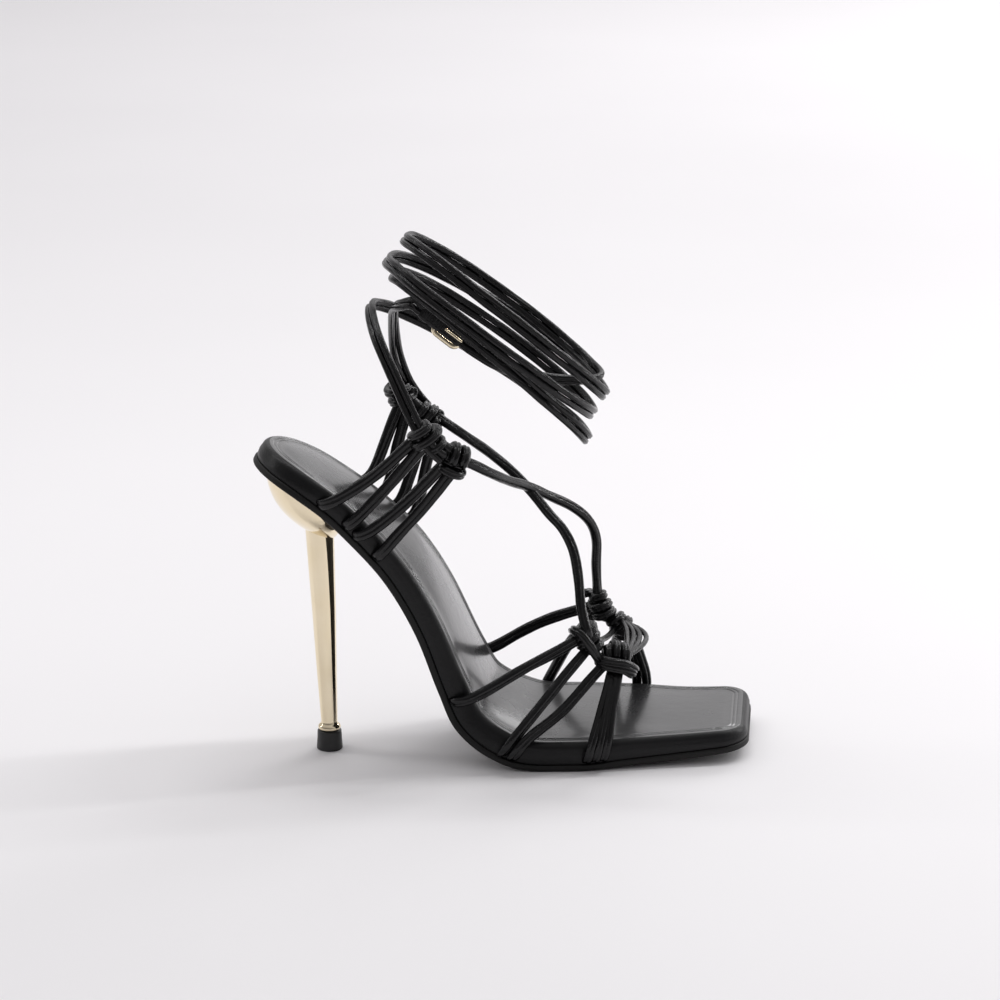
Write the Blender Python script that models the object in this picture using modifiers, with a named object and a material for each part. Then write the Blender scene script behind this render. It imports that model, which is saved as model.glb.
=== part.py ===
"""Lace-up stiletto sandal: a padded square-toed sole on a slim gold heel, its upper of knotted round cords.

The shoe is a right one. +X runs from heel to toe, +Y to the inner side and +Z up, with the origin on the
floor under the ball of the foot. Tables and sizes are in millimetres.
"""

import math
from collections import namedtuple

import bmesh
import bpy
import numpy as np
from mathutils import Matrix, Vector

for leftover in list(bpy.data.objects):
    bpy.data.objects.remove(leftover, do_unlink=True)

# Driving sizes
MM = 0.001
GAP = 0.3
CORD = 3.6
CORD_RADIUS = CORD / 2
PAIR_HALF = (CORD + GAP) / 2
LACE = 2.5
LACE_RADIUS = LACE / 2
LACE_HALF = (LACE + GAP) / 2
OUTSOLE_THICK = 2.6
OUTSOLE_LEDGE = 0.6
HEEL_END = 25.0
TOE_CORNER = 10.0
RIM_RADIUS = 3.0
FEATHER_RADIUS = 2.4
STUB = 9.0
JOINT_GAP = 0.6
CORD_STEP = 11.5
BUCKLE_STEP = 6.0
FINE_STEP = 1.5
OUTER, INNER = -1, 1

# Sole sections: centre line of the underside, half widths, slant across the shoe in degrees, whole thickness
Section = namedtuple("Section", "x z outer inner slant thick")
SOLE = (
    Section(-117.0, 117.5, 24.5, 24.5, 0.0, 10.0),
    Section(-105.0, 111.4, 25.5, 25.5, 0.0, 10.0),
    Section(-92.0, 103.0, 25.8, 25.8, 2.0, 10.0),
    Section(-78.0, 90.8, 24.4, 26.0, 7.0, 10.0),
    Section(-64.0, 75.0, 22.4, 25.8, 11.0, 10.0),
    Section(-52.2, 54.0, 21.8, 26.8, 12.0, 10.0),
    Section(-43.0, 29.8, 22.6, 30.0, 12.0, 11.0),
    Section(-37.2, 16.8, 24.0, 32.8, 12.0, 11.8),
    Section(-25.4, 6.4, 27.2, 37.4, 12.0, 12.0),
    Section(-11.0, 0.7, 30.0, 40.8, 10.5, 11.8),
    Section(-4.0, 0.0, 30.6, 41.3, 8.5, 11.6),
    Section(10.0, 0.0, 31.0, 40.8, 8.5, 11.5),
    Section(28.0, 1.2, 29.4, 37.2, 8.5, 10.8),
    Section(52.0, 2.8, 26.8, 30.8, 8.5, 9.6),
    Section(75.5, 5.0, 25.2, 27.8, 9.0, 8.4),
)
HEEL_TURN = (10, 24, 38, 54, 72)
TOE_TURN = (0, 25, 48, 68, 84)
FLAT_STRETCH = (-3.5, 9.5)
STATION_STEP = 9.6

# Heel: seat outline on the underside, the cup's rings between seat and stem, then rings down the stem
SEAT_CENTRE = 23.0
SEAT_LENGTH = 36.0
SEAT_WIDTH = 38.0
HEEL_SIDES = 20
CupRing = namedtuple("CupRing", "inward down")
CUP = (
    CupRing(0.0, 0.0),
    CupRing(0.03, 0.20),
    CupRing(0.13, 0.42),
    CupRing(0.34, 0.65),
    CupRing(0.62, 0.84),
    CupRing(0.86, 0.96),
)
StemRing = namedtuple("StemRing", "z x radius tilt")
STEM = (
    StemRing(89.0, -92.5, 5.6, 0.42),
    StemRing(58.0, -91.3, 4.7, 0.0),
    StemRing(32.0, -90.6, 3.9, 0.0),
    StemRing(10.6, -89.9, 3.2, 0.0),
    StemRing(9.4, -89.9, 4.2, 0.0),
    StemRing(8.2, -89.9, 4.2, 0.0),
)
TIP_SIDES = 24
TipPoint = namedtuple("TipPoint", "radius z")
TIP = (
    TipPoint(0.0, 7.9),
    TipPoint(4.2, 7.9),
    TipPoint(4.7, 7.4),
    TipPoint(5.1, 0.5),
    TipPoint(4.8, 0.0),
    TipPoint(0.0, 0.0),
)

# Knots: centre and half sizes
Knot = namedtuple("Knot", "centre half_size")
KNOTS = {
    "vamp_back_outer": Knot((6.2, -17.0, 49.0), (5.0, 5.2, 7.4)),
    "vamp_front_outer": Knot((20.6, -17.0, 42.0), (7.4, 5.2, 5.0)),
    "vamp_back_inner": Knot((17.3, 22.0, 49.7), (5.0, 5.2, 7.0)),
    "vamp_front_inner": Knot((27.4, 22.0, 42.0), (6.4, 5.2, 5.0)),
    "ankle_outer": Knot((-53.0, -32.0, 134.0), (6.0, 4.8, 6.2)),
    "instep_outer": Knot((-41.5, -31.0, 125.4), (6.6, 5.2, 6.2)),
    "ankle_inner": Knot((-56.7, 33.0, 135.4), (6.0, 4.8, 6.2)),
    "instep_inner": Knot((-46.7, 32.0, 126.4), (6.6, 5.2, 6.2)),
}

# Straps from the sole's edge to a knot: place on the sole, lean over the rim, cords, bow, aim in the knot
Strap = namedtuple("Strap", "x lean knot cords bow aim_x aim_z")
VAMP_OUTER = (
    Strap(-40.8, 0.5, "vamp_back_outer", 1, 0.0, 0.0, 0.0),
    Strap(-19.4, 3.0, "vamp_back_outer", 1, 0.5, 2.6, -5.5),
    Strap(-15.6, 5.0, "vamp_front_outer", 1, -3.0, -3.6, -2.8),
    Strap(16.5, 3.4, "vamp_front_outer", 2, 1.5, 0.8, -2.5),
)
VAMP_INNER = (
    Strap(-41.5, 2.0, "vamp_back_inner", 1, 2.5, 0.0, 0.0),
    Strap(-13.0, 4.0, "vamp_back_inner", 1, 2.0, -1.0, -3.0),
    Strap(16.0, 3.0, "vamp_front_inner", 1, 2.0, -1.5, -1.5),
    Strap(30.2, 1.0, "vamp_front_inner", 2, 2.0, 1.0, -1.5),
)
QUARTER_OUTER = (
    Strap(-94.4, 5.0, "ankle_outer", 1, -2.0, -1.2, 1.5),
    Strap(-83.6, 1.5, "ankle_outer", 1, 0.0, 1.2, -1.5),
    Strap(-79.6, 3.7, "instep_outer", 1, -2.0, -1.5, 1.2),
    Strap(-70.6, -0.6, "instep_outer", 1, -0.5, 1.5, -1.8),
)
QUARTER_INNER = (
    Strap(-84.4, 3.0, "ankle_inner", 1, 0.5, -1.5, 0.0),
    Strap(-78.5, 2.0, "ankle_inner", 1, 0.5, 1.2, 0.0),
    Strap(-74.0, 2.0, "instep_inner", 1, 0.5, -1.5, 0.0),
    Strap(-69.0, 1.0, "instep_inner", 1, 0.5, 1.5, 0.0),
)

# How a strap passes the sole's edge: tucked into the feather line, past the wall and over the rim
TUCK_OUT, TUCK_UP, TUCK_THICK = 0.5, 0.9, 0.36
TURN_OUT, TURN_UP, TURN_THICK, TURN_LEAN = 1.4, 2.2, 0.8, 0.15
WALL_HEIGHT, WALL_LEAN = 0.62, 0.4
RIM_CLEAR = 0.6
BOW_WAY = (0.45, 0.9)
FAN = Vector((0.4, 0.0, 0.3))

# Cords over the toes, between the two front knots, from the innermost to the outermost
ToeArc = namedtuple("ToeArc", "forward up")
TOE_ARCS = (ToeArc(4.6, 3.2), ToeArc(7.5, 1.7), ToeArc(10.4, 0.2))
TOE_INNER = Vector((26.4, 20.0, 43.0))
TOE_OUTER = Vector((20.6, -16.0, 42.4))
TOE_RADIUS = 1.4
VAMP_BAR = (
    (8.0, -17.0, 48.0), (14.0, -14.0, 47.0), (19.0, 0.0, 44.0), (24.0, 18.0, 41.0), (27.4, 22.0, 41.0),
)
BAR_RADIUS = 1.3

# Cords over the instep, which cross at its middle
INSTEP_OVER = (
    (-41.5, -31.0, 125.4), (-36.0, -29.0, 123.6), (-28.0, -23.0, 117.8), (-20.5, -13.0, 112.0),
    (-12.7, -2.6, 106.4), (-4.5, 5.0, 100.8), (5.0, 11.0, 94.6), (12.4, 15.0, 87.2),
    (15.9, 18.0, 78.8), (16.3, 20.0, 66.6), (17.3, 22.0, 49.7),
)
INSTEP_UNDER = (
    (-46.7, 32.0, 126.4), (-42.0, 29.0, 123.4), (-33.5, 21.0, 119.0), (-26.0, 13.0, 115.6),
    (-18.8, 6.0, 111.0), (-12.5, 0.6, 105.2), (-4.7, -5.0, 96.6), (0.8, -9.0, 91.0),
    (4.4, -12.0, 83.5), (6.3, -14.0, 72.8), (6.2, -17.0, 49.0),
)

# Ankle cords: the rise from the outer knot, then half turns between the back and the front of the ankle
ANKLE_AXIS_POINT = Vector((-25.0, 0.0, 165.0))
ANKLE_AXIS = Vector((0.615, 0.0, 0.789))
OUTER_RISE = ((-53.0, -32.0, 134.0), (-56.0, -31.0, 143.0), (-62.6, -26.5, 157.0), (-69.0, -16.0, 169.5))
Turn = namedtuple("Turn", "x z half_depth lift")
TURNS = (
    Turn(-72.0, 176.7, 31.0, 1.5),
    Turn(10.5, 124.6, 24.0, 6.5),
    Turn(-63.0, 189.0, 27.0, 0.5),
    Turn(12.5, 134.9, 32.5, 6.5),
    Turn(-65.3, 194.8, 31.0, 0.0),
    Turn(17.0, 142.0, 26.0, 6.5),
    Turn(-58.5, 203.0, 27.0, -0.5),
    Turn(14.8, 148.6, 0.0, 0.0),
)
TURN_STEPS = 8
OUTER_END = ((6.0, -6.0, 149.2), (-6.0, -11.8, 151.2), (-16.5, -15.2, 154.8), (-26.0, -16.6, 159.2))

# Buckle cords: the rise from the inner knot, round the back to the tab on the outer side
INNER_RISE = (
    (-56.7, 33.0, 135.4), (-59.5, 32.0, 145.0), (-62.0, 27.0, 155.0), (-62.8, 19.0, 164.0),
    (-63.0, 10.0, 171.5), (-62.6, 2.0, 176.5), (-60.6, -6.5, 179.2),
)
TAB_START = Vector((-53.2, -12.5, 178.8))
TAB_END = Vector((-37.5, -15.6, 166.8))
TAB_RUN = 4.0
TAB_WIDTH = 5.8
TAB_THICK = 2.2
TAB_BEVEL = 0.8
FRAME_LENGTH = 11.0
FRAME_WIDTH = 8.4
FRAME_CORNER = 2.0
FRAME_WIRE = 1.6
FRAME_SHIFT = 3.6
PIN_WIRE = 1.2
PIN_START = -1.5


# Collections and materials
def collection(name):
    made = bpy.data.collections.new(name)
    bpy.context.scene.collection.children.link(made)
    return made


PARTS = collection("lace_up_stiletto_sandal")


def finish(name, colour, roughness, metallic=0.0):
    made = bpy.data.materials.new(name)
    made.use_nodes = True
    shader = made.node_tree.nodes["Principled BSDF"]
    shader.inputs["Base Color"].default_value = (*colour, 1.0)
    shader.inputs["Roughness"].default_value = roughness
    shader.inputs["Metallic"].default_value = metallic
    return made


CORD_LEATHER = finish("cord_leather", (0.012, 0.012, 0.014), 0.38)
FOOTBED_COVER = finish("footbed_cover", (0.022, 0.022, 0.025), 0.36)
SOLE_SHEET = finish("sole_sheet", (0.015, 0.015, 0.015), 0.6)
TIP_RUBBER = finish("tip_rubber", (0.018, 0.018, 0.018), 0.55)
GOLD_PLATE = finish("gold_plate", (0.86, 0.74, 0.5), 0.08, 1.0)


def add(name, mesh, material, into=None):
    obj = bpy.data.objects.new(name, mesh)
    mesh.materials.clear()
    mesh.materials.append(material)
    (into or PARTS).objects.link(obj)
    return obj


def close_mesh(name, bm):
    """The bmesh in millimetres as a mesh in metres, with its faces outwards and smooth."""
    bmesh.ops.scale(bm, vec=(MM, MM, MM), verts=bm.verts)
    bmesh.ops.recalc_face_normals(bm, faces=bm.faces)
    mesh = bpy.data.meshes.new(name)
    bm.to_mesh(mesh)
    bm.free()
    mesh.shade_smooth()
    mesh.set_sharp_from_angle(angle=math.radians(40))
    return mesh


def loft(name, rings, close_ends):
    """A closed skin over rings of equal counts, with each end closed by close_ends(bm, ring)."""
    bm = bmesh.new()
    made = [[bm.verts.new(point) for point in ring] for ring in rings]
    count = len(made[0])
    for ring, following in zip(made, made[1:]):
        for i in range(count):
            j = (i + 1) % count
            bm.faces.new((ring[i], ring[j], following[j], following[i]))
    close_ends(bm, made[0])
    close_ends(bm, made[-1])
    return close_mesh(name, bm)


# The sole as a bent sheet: u runs along it from the heel's back, y across it, h up from its underside
SECTIONS = dict(zip(Section._fields, np.array(SOLE, float).T))
STEPS = np.hypot(np.diff(SECTIONS["x"]), np.diff(SECTIONS["z"]))
SECTION_U = np.concatenate([[0.0], np.cumsum(STEPS)])
LENGTH = float(SECTION_U[-1])


def eased(knots, values, at):
    """A smooth curve through the values that never swings past them."""
    slopes = np.diff(values) / np.diff(knots)
    same_way = slopes[:-1] * slopes[1:] > 0
    inside = np.zeros(len(slopes) - 1)
    inside[same_way] = 2 / (1 / slopes[:-1][same_way] + 1 / slopes[1:][same_way])
    tangents = np.concatenate([[slopes[0]], inside, [slopes[-1]]])
    i = int(np.clip(np.searchsorted(knots, at) - 1, 0, len(slopes) - 1))
    span = knots[i + 1] - knots[i]
    t = (at - knots[i]) / span
    return float(
        values[i] * (1 + 2 * t) * (1 - t) ** 2
        + tangents[i] * span * t * (1 - t) ** 2
        + values[i + 1] * t * t * (3 - 2 * t)
        + tangents[i + 1] * span * t * t * (t - 1)
    )


def section(column, u):
    return eased(SECTION_U, SECTIONS[column], u)


def u_at(x):
    return float(np.interp(x, SECTIONS["x"], SECTION_U))


def place(u, y, h):
    """The point at h above the underside of the bent sole."""
    nudge = 0.5
    low, high = max(u - nudge, 0.0), min(u + nudge, LENGTH)
    along_x = section("x", high) - section("x", low)
    along_z = section("z", high) - section("z", low)
    size = math.hypot(along_x, along_z)
    slant = math.tan(math.radians(section("slant", u)))
    x = section("x", u) + (u - np.clip(u, 0.0, LENGTH)) + y * slant - along_z / size * h
    return Vector((x, y, section("z", u) + along_x / size * h))


def half_width(u, side):
    width = section("outer" if side == OUTER else "inner", u)
    if u < HEEL_END:
        width *= math.sqrt(max(0.0, 1 - ((HEEL_END - u) / HEEL_END) ** 2))
    corner = u - (LENGTH - TOE_CORNER)
    if corner > 0:
        width -= TOE_CORNER - math.sqrt(max(0.0, TOE_CORNER**2 - corner**2))
    return width


def stations():
    """Places along the sole: close together round the heel and the toe corners, even steps between."""
    heel = [HEEL_END * (1 - math.cos(math.radians(angle))) for angle in HEEL_TURN]
    toe = [LENGTH - TOE_CORNER + TOE_CORNER * math.sin(math.radians(angle)) for angle in TOE_TURN]
    stops = [HEEL_END, *(u_at(x) for x in FLAT_STRETCH), toe[0]]
    middle = []
    for start, stop in zip(stops, stops[1:]):
        count = round((stop - start) / STATION_STEP)
        middle += list(np.linspace(start, stop, count, endpoint=False))
    return heel + middle + toe


def edge(u, side, outset):
    """A point of the sole's outline moved outwards by outset, flat on the sheet, as (u, y)."""
    nudge = 0.05
    low, high = max(u - nudge, 0.0), min(u + nudge, LENGTH)
    run = high - low
    rise = half_width(high, side) - half_width(low, side)
    size = math.hypot(run, rise)
    return u - rise / size * outset, side * (half_width(u, side) + run / size * outset)


def slab(name, material, rim):
    """A layer of the sole: rim(u) lists (outset, height) up its edge."""
    rings = []
    for u in stations():
        inner = [place(*edge(u, INNER, outset), h) for outset, h in rim(u)]
        outer = [place(*edge(u, OUTER, outset), h) for outset, h in rim(u)]
        rings.append(inner + outer[::-1])

    def close_ends(bm, ring):
        for i in range(len(ring) // 2 - 1):
            bm.faces.new((ring[i], ring[i + 1], ring[-2 - i], ring[-1 - i]))

    return add(name, loft(name, rings, close_ends), material)


def quarter_round(radius, steps, start_degrees):
    """Offsets from the centre of a quarter circle."""
    turns = [math.radians(start_degrees + 90 * i / steps) for i in range(steps + 1)]
    return [(radius * math.cos(turn), radius * math.sin(turn)) for turn in turns]


def outsole_rim(u):
    chamfer = 0.5
    return [
        (OUTSOLE_LEDGE - chamfer, 0.0),
        (OUTSOLE_LEDGE, chamfer),
        (OUTSOLE_LEDGE, OUTSOLE_THICK - chamfer),
        (OUTSOLE_LEDGE - chamfer, OUTSOLE_THICK),
    ]


def footbed_rim(u):
    low = OUTSOLE_THICK + GAP
    top = section("thick", u)
    feather = quarter_round(FEATHER_RADIUS, 2, -90)
    rim = quarter_round(RIM_RADIUS, 3, 0)
    below = [(out - FEATHER_RADIUS, low + FEATHER_RADIUS + up) for out, up in feather]
    above = [(out - RIM_RADIUS, top - RIM_RADIUS + up) for out, up in rim]
    return below + above


# Heel and its tip
def close_round(bm, ring):
    """Closes a ring with rungs from side to side and a triangle at each end."""
    half = len(ring) // 2
    bm.faces.new((ring[0], ring[1], ring[-1]))
    for i in range(1, half - 1):
        bm.faces.new((ring[i], ring[i + 1], ring[-1 - i], ring[-i]))
    bm.faces.new((ring[half - 1], ring[half], ring[half + 1]))


def heel():
    turns = [2 * math.pi * i / HEEL_SIDES for i in range(HEEL_SIDES)]
    seat = []
    for turn in turns:
        u = SEAT_CENTRE + SEAT_LENGTH / 2 * math.cos(turn)
        seat.append(place(u, SEAT_WIDTH / 2 * math.sin(turn), -GAP))
    stem_rings = []
    for z, x, radius, tilt in STEM:
        ring = []
        for turn in turns:
            forward = radius * math.cos(turn)
            ring.append(Vector((x + forward, radius * math.sin(turn), z - tilt * forward)))
        stem_rings.append(ring)
    cup_rings = []
    for inward, down in CUP:
        ring = []
        for start, end in zip(seat, stem_rings[0]):
            level = start.lerp(end, inward)
            level.z = start.z + (end.z - start.z) * down
            ring.append(level)
        cup_rings.append(ring)
    return add("heel", loft("heel", cup_rings + stem_rings, close_round), GOLD_PLATE)


def heel_tip():
    mesh = bpy.data.meshes.new("heel_tip")
    points = [(radius * MM, 0.0, z * MM) for radius, z in TIP]
    mesh.from_pydata(points, [(i, i + 1) for i in range(len(points) - 1)], [])
    obj = add("heel_tip", mesh, TIP_RUBBER)
    obj.location = (STEM[-1].x * MM, 0.0, 0.0)
    turned = obj.modifiers.new("turned", "SCREW")
    turned.steps = turned.render_steps = TIP_SIDES
    turned.use_merge_vertices = True
    turned.merge_threshold = 0.00001
    turned.use_smooth_shade = True
    return obj


# Cords
def run_of(route):
    return sum((b - a).length for a, b in zip(route, route[1:]))


def smooth(points, step):
    """Points a step apart on a smooth curve through the given ones."""
    knots = [Vector(point) for point in points]
    ends = [2 * knots[0] - knots[1]] + knots + [2 * knots[-1] - knots[-2]]
    fine = []
    for before, start, end, after in zip(ends, ends[1:], ends[2:], ends[3:]):
        for t in np.linspace(0, 1, 12, endpoint=False):
            fine.append(
                0.5
                * (
                    2 * start
                    + (end - before) * t
                    + (2 * before - 5 * start + 4 * end - after) * t**2
                    + (3 * start - before - 3 * end + after) * t**3
                )
            )
    fine.append(knots[-1])
    return resampled(fine, step, 0.0, run_of(fine))


def resampled(fine, step, start, stop):
    """Points about a step apart on the stretch of a fine line from start to stop, measured along it."""
    table = np.array(fine)
    run = np.concatenate([[0.0], np.cumsum(np.linalg.norm(np.diff(table, axis=0), axis=1))])
    at = np.linspace(start, stop, max(2, round((stop - start) / step) + 1))
    return [Vector([np.interp(a, run, table[:, axis]) for axis in range(3)]) for a in at]


def cord(name, route, into, radii=None, depth=CORD_RADIUS):
    """A round cord along the route as a closed mesh object; radii scales its thickness point by point."""
    data = bpy.data.curves.new(name, "CURVE")
    data.dimensions = "3D"
    data.bevel_depth = depth * MM
    data.bevel_resolution = 2
    data.use_fill_caps = True
    spline = data.splines.new("POLY")
    spline.points.add(len(route) - 1)
    for i, point in enumerate(route):
        spline.points[i].co = (*(point * MM), 1.0)
        spline.points[i].radius = radii[i] if radii else 1.0
    line = bpy.data.objects.new(name + "_line", data)
    bpy.context.scene.collection.objects.link(line)
    bpy.context.view_layer.update()
    mesh = bpy.data.meshes.new_from_object(line.evaluated_get(bpy.context.evaluated_depsgraph_get()))
    bpy.data.objects.remove(line, do_unlink=True)
    bpy.data.curves.remove(data)
    bm = bmesh.new()
    bm.from_mesh(mesh)
    bmesh.ops.remove_doubles(bm, verts=bm.verts, dist=0.00001)
    bmesh.ops.recalc_face_normals(bm, faces=bm.faces)
    bm.to_mesh(mesh)
    bm.free()
    mesh.shade_smooth()
    return add(name, mesh, CORD_LEATHER, into)


def strap_route(u, side, lean, target, bow):
    """From the feather line up the sole's edge, over the rim and on to the target."""
    top = section("thick", u)
    feather = OUTSOLE_THICK + GAP
    beside = CORD_RADIUS + GAP
    tucked = place(*edge(u, side, TUCK_OUT), feather + TUCK_UP)
    turning = place(*edge(u + TURN_LEAN * lean, side, TURN_OUT), feather + TURN_UP)
    at_wall = place(*edge(u + WALL_LEAN * lean, side, beside), WALL_HEIGHT * top)
    at_rim = place(*edge(u + lean, side, beside + RIM_CLEAR), top + RIM_CLEAR)
    outward, upward = BOW_WAY
    middle = at_rim.lerp(target, 0.5) + Vector((0.0, outward * side, upward)) * bow
    route = [tucked, turning] + smooth([at_wall, at_rim, middle, target], CORD_STEP)
    return route, [TUCK_THICK, TURN_THICK] + [1.0] * (len(route) - 2)


def straps(prefix, rows, side, into):
    for number, row in enumerate(rows, 1):
        for k in range(row.cords):
            shift = (2 * k - row.cords + 1) * PAIR_HALF
            target = Vector(KNOTS[row.knot].centre) + Vector((row.aim_x, 0.0, row.aim_z)) + FAN * shift
            route, radii = strap_route(u_at(row.x) + shift, side, row.lean, target, row.bow)
            cord(f"{prefix}_{number}_{k + 1}", route, into, radii)


def knot(name, into):
    bm = bmesh.new()
    bmesh.ops.create_uvsphere(bm, u_segments=10, v_segments=6, radius=1.0)
    bmesh.ops.scale(bm, vec=KNOTS[name].half_size, verts=bm.verts)
    bmesh.ops.translate(bm, vec=KNOTS[name].centre, verts=bm.verts)
    return add(name, close_mesh(name, bm), CORD_LEATHER, into)


def joined(name, pieces):
    """One solid out of the collection's pieces, which stay as hidden helpers."""
    helpers = list(pieces.objects)
    base = helpers[0]
    pieces.objects.unlink(base)
    PARTS.objects.link(base)
    base.name = name
    for helper in helpers[1:]:
        helper.hide_render = True
        helper.display_type = "WIRE"
    union = base.modifiers.new("joined", "BOOLEAN")
    union.operation = "UNION"
    union.operand_type = "COLLECTION"
    union.collection = pieces
    return base


def stub(name, route, into, at_end=False, depth=CORD_RADIUS):
    """The first or last stretch of a route, which joins the knot that it comes out of."""
    start = run_of(route) - STUB if at_end else 0.0
    cord(name, resampled(route, CORD_STEP, start, start + STUB), into, depth=depth)


OVER = smooth(INSTEP_OVER, FINE_STEP)
UNDER = smooth(INSTEP_UNDER, FINE_STEP)


def beside_axis(route, offset):
    """The route moved sideways across the band that winds round the ankle."""
    moved = []
    for i, point in enumerate(route):
        along = route[min(i + 1, len(route) - 1)] - route[max(i - 1, 0)]
        away = point - ANKLE_AXIS_POINT
        away -= ANKLE_AXIS * away.dot(ANKLE_AXIS)
        moved.append(point + along.cross(away).normalized() * offset)
    return moved


def ankle_route():
    """Up from the outer knot, then half turns by the inner side and the outer side in turn."""
    points = [Vector(point) for point in OUTER_RISE]
    for i, (turn, following) in enumerate(zip(TURNS, TURNS[1:])):
        side = INNER if i % 2 == 0 else OUTER
        start, end = Vector((turn.x, 0.0, turn.z)), Vector((following.x, 0.0, following.z))
        for step in range(TURN_STEPS):
            angle = math.pi * step / TURN_STEPS
            swing = Vector((0.0, side * turn.half_depth, turn.lift)) * math.sin(angle)
            points.append((start + end) / 2 + (start - end) / 2 * math.cos(angle) + swing)
    points.append(Vector((TURNS[-1].x, 0.0, TURNS[-1].z)))
    points += [Vector(point) for point in OUTER_END]
    return smooth(points + [TAB_END + TAB_ALONG * TAB_RUN, TAB_END], FINE_STEP)


def buckle_route():
    points = [Vector(point) for point in INNER_RISE]
    return smooth(points + [TAB_START - TAB_ALONG * TAB_RUN, TAB_START], FINE_STEP)


TAB_ALONG = (TAB_END - TAB_START).normalized()
ANKLE = ankle_route()
BUCKLE_LINE = buckle_route()
SIDES = (("1", LACE_HALF), ("2", -LACE_HALF))


def vamp_straps():
    pieces = collection("vamp_pieces")
    pairs = (("vamp_back_outer", "vamp_front_outer"), ("vamp_back_inner", "vamp_front_inner"))
    for back, front in pairs:
        knot(back, pieces)
        knot(front, pieces)
        bridge = [Vector(KNOTS[back].centre), Vector(KNOTS[front].centre)]
        cord(back + "_bridge", bridge, pieces, depth=CORD)
    straps("vamp_outer", VAMP_OUTER, OUTER, pieces)
    straps("vamp_inner", VAMP_INNER, INNER, pieces)
    for number, (forward, up) in enumerate(TOE_ARCS, 1):
        route = []
        for t in np.linspace(0, 1, 9):
            bulge = Vector((forward, 0.0, up)) * math.sin(math.pi * t)
            route.append(TOE_INNER.lerp(TOE_OUTER, t) + bulge)
        cord(f"toe_cord_{number}", smooth(route, CORD_STEP / 2), pieces, depth=TOE_RADIUS)
    cord("vamp_bar", smooth(VAMP_BAR, CORD_STEP / 2), pieces, depth=BAR_RADIUS)
    stub("over_stub", OVER, pieces, at_end=True)
    stub("under_stub", UNDER, pieces, at_end=True)
    return joined("vamp_straps", pieces)


def quarter_straps(word, rows, side, instep, rise):
    pieces = collection(f"quarter_{word}_pieces")
    names = [f"ankle_{word}", f"instep_{word}"]
    for name in names:
        knot(name, pieces)
    straps(f"quarter_{word}", rows, side, pieces)
    bridge = [Vector(KNOTS[name].centre) for name in names]
    cord(f"quarter_{word}_bridge", bridge, pieces, depth=CORD)
    stub(f"instep_stub_{word}", instep, pieces)
    for label, offset in SIDES:
        stub(f"rise_stub_{word}_{label}", beside_axis(rise, offset), pieces, depth=LACE_RADIUS)
    return joined(f"quarter_straps_{word}", pieces)


def instep_cords():
    pieces = collection("instep_pieces")
    clear = STUB + JOINT_GAP
    for name, route in (("over", OVER), ("under", UNDER)):
        cord(f"instep_{name}", resampled(route, CORD_STEP, clear, run_of(route) - clear), pieces)
    return joined("instep_cords", pieces)


def ankle_cords():
    for label, offset in SIDES:
        for name, rise, step in (("ankle_cord", ANKLE, CORD_STEP), ("buckle_cord", BUCKLE_LINE, BUCKLE_STEP)):
            route = beside_axis(rise, offset)
            stop = run_of(route) - JOINT_GAP
            cord(f"{name}_{label}", resampled(route, step, STUB + JOINT_GAP, stop), PARTS, depth=LACE_RADIUS)


# Buckle
def tab_frame():
    """Axes of the tab: along it, across it and out from the ankle."""
    along = TAB_ALONG
    middle = (TAB_START + TAB_END) / 2
    away = middle - ANKLE_AXIS_POINT
    away -= ANKLE_AXIS * away.dot(ANKLE_AXIS)
    away = (away - along * away.dot(along)).normalized()
    across = away.cross(along)
    return Matrix((along, across, away)).transposed().to_4x4(), middle


def buckle_tab():
    turn, middle = tab_frame()
    bm = bmesh.new()
    bmesh.ops.create_cube(bm, size=1.0)
    length = (TAB_END - TAB_START).length - 2 * GAP
    bmesh.ops.scale(bm, vec=(length, TAB_WIDTH, TAB_THICK), verts=bm.verts)
    bmesh.ops.bevel(bm, geom=bm.edges, offset=TAB_BEVEL, segments=2, affect="EDGES", profile=0.5)
    bmesh.ops.transform(bm, matrix=Matrix.Translation(middle) @ turn, verts=bm.verts)
    return add("buckle_tab", close_mesh("buckle_tab", bm), CORD_LEATHER)


def buckle_frame():
    turn, middle = tab_frame()
    data = bpy.data.curves.new("buckle_frame", "CURVE")
    data.dimensions = "3D"
    data.bevel_depth = FRAME_WIRE / 2 * MM
    data.bevel_resolution = 2
    spline = data.splines.new("POLY")
    spline.use_cyclic_u = True
    points = []
    for quarter in range(4):
        for step in range(3):
            angle = math.radians(90 * quarter + 45 * step)
            corner = math.radians(90 * quarter + 45)
            x = math.copysign(FRAME_LENGTH / 2 - FRAME_CORNER, math.cos(corner))
            y = math.copysign(FRAME_WIDTH / 2 - FRAME_CORNER, math.sin(corner))
            round_off = Vector((math.cos(angle), math.sin(angle), 0.0)) * FRAME_CORNER
            points.append(Vector((x, y, 0.0)) + round_off)
    spline.points.add(len(points) - 1)
    for vertex, point in zip(spline.points, points):
        vertex.co = (*(point * MM), 1.0)
    data.materials.append(GOLD_PLATE)
    obj = bpy.data.objects.new("buckle_frame", data)
    PARTS.objects.link(obj)
    depth = TAB_THICK / 2 + GAP + FRAME_WIRE / 2
    centre = middle + turn.to_3x3() @ Vector((FRAME_SHIFT, 0.0, -depth))
    obj.matrix_world = Matrix.Translation(centre * MM) @ turn
    return obj


def buckle_pin():
    turn, middle = tab_frame()
    height = TAB_THICK / 2 + GAP + PIN_WIRE / 2
    spans = (PIN_START, FRAME_LENGTH / 2)
    ends = [middle + turn.to_3x3() @ Vector((x + FRAME_SHIFT, 0.0, height)) for x in spans]
    pin = cord("buckle_pin", ends, PARTS, depth=PIN_WIRE / 2)
    pin.data.materials[0] = GOLD_PLATE
    return pin


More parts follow.
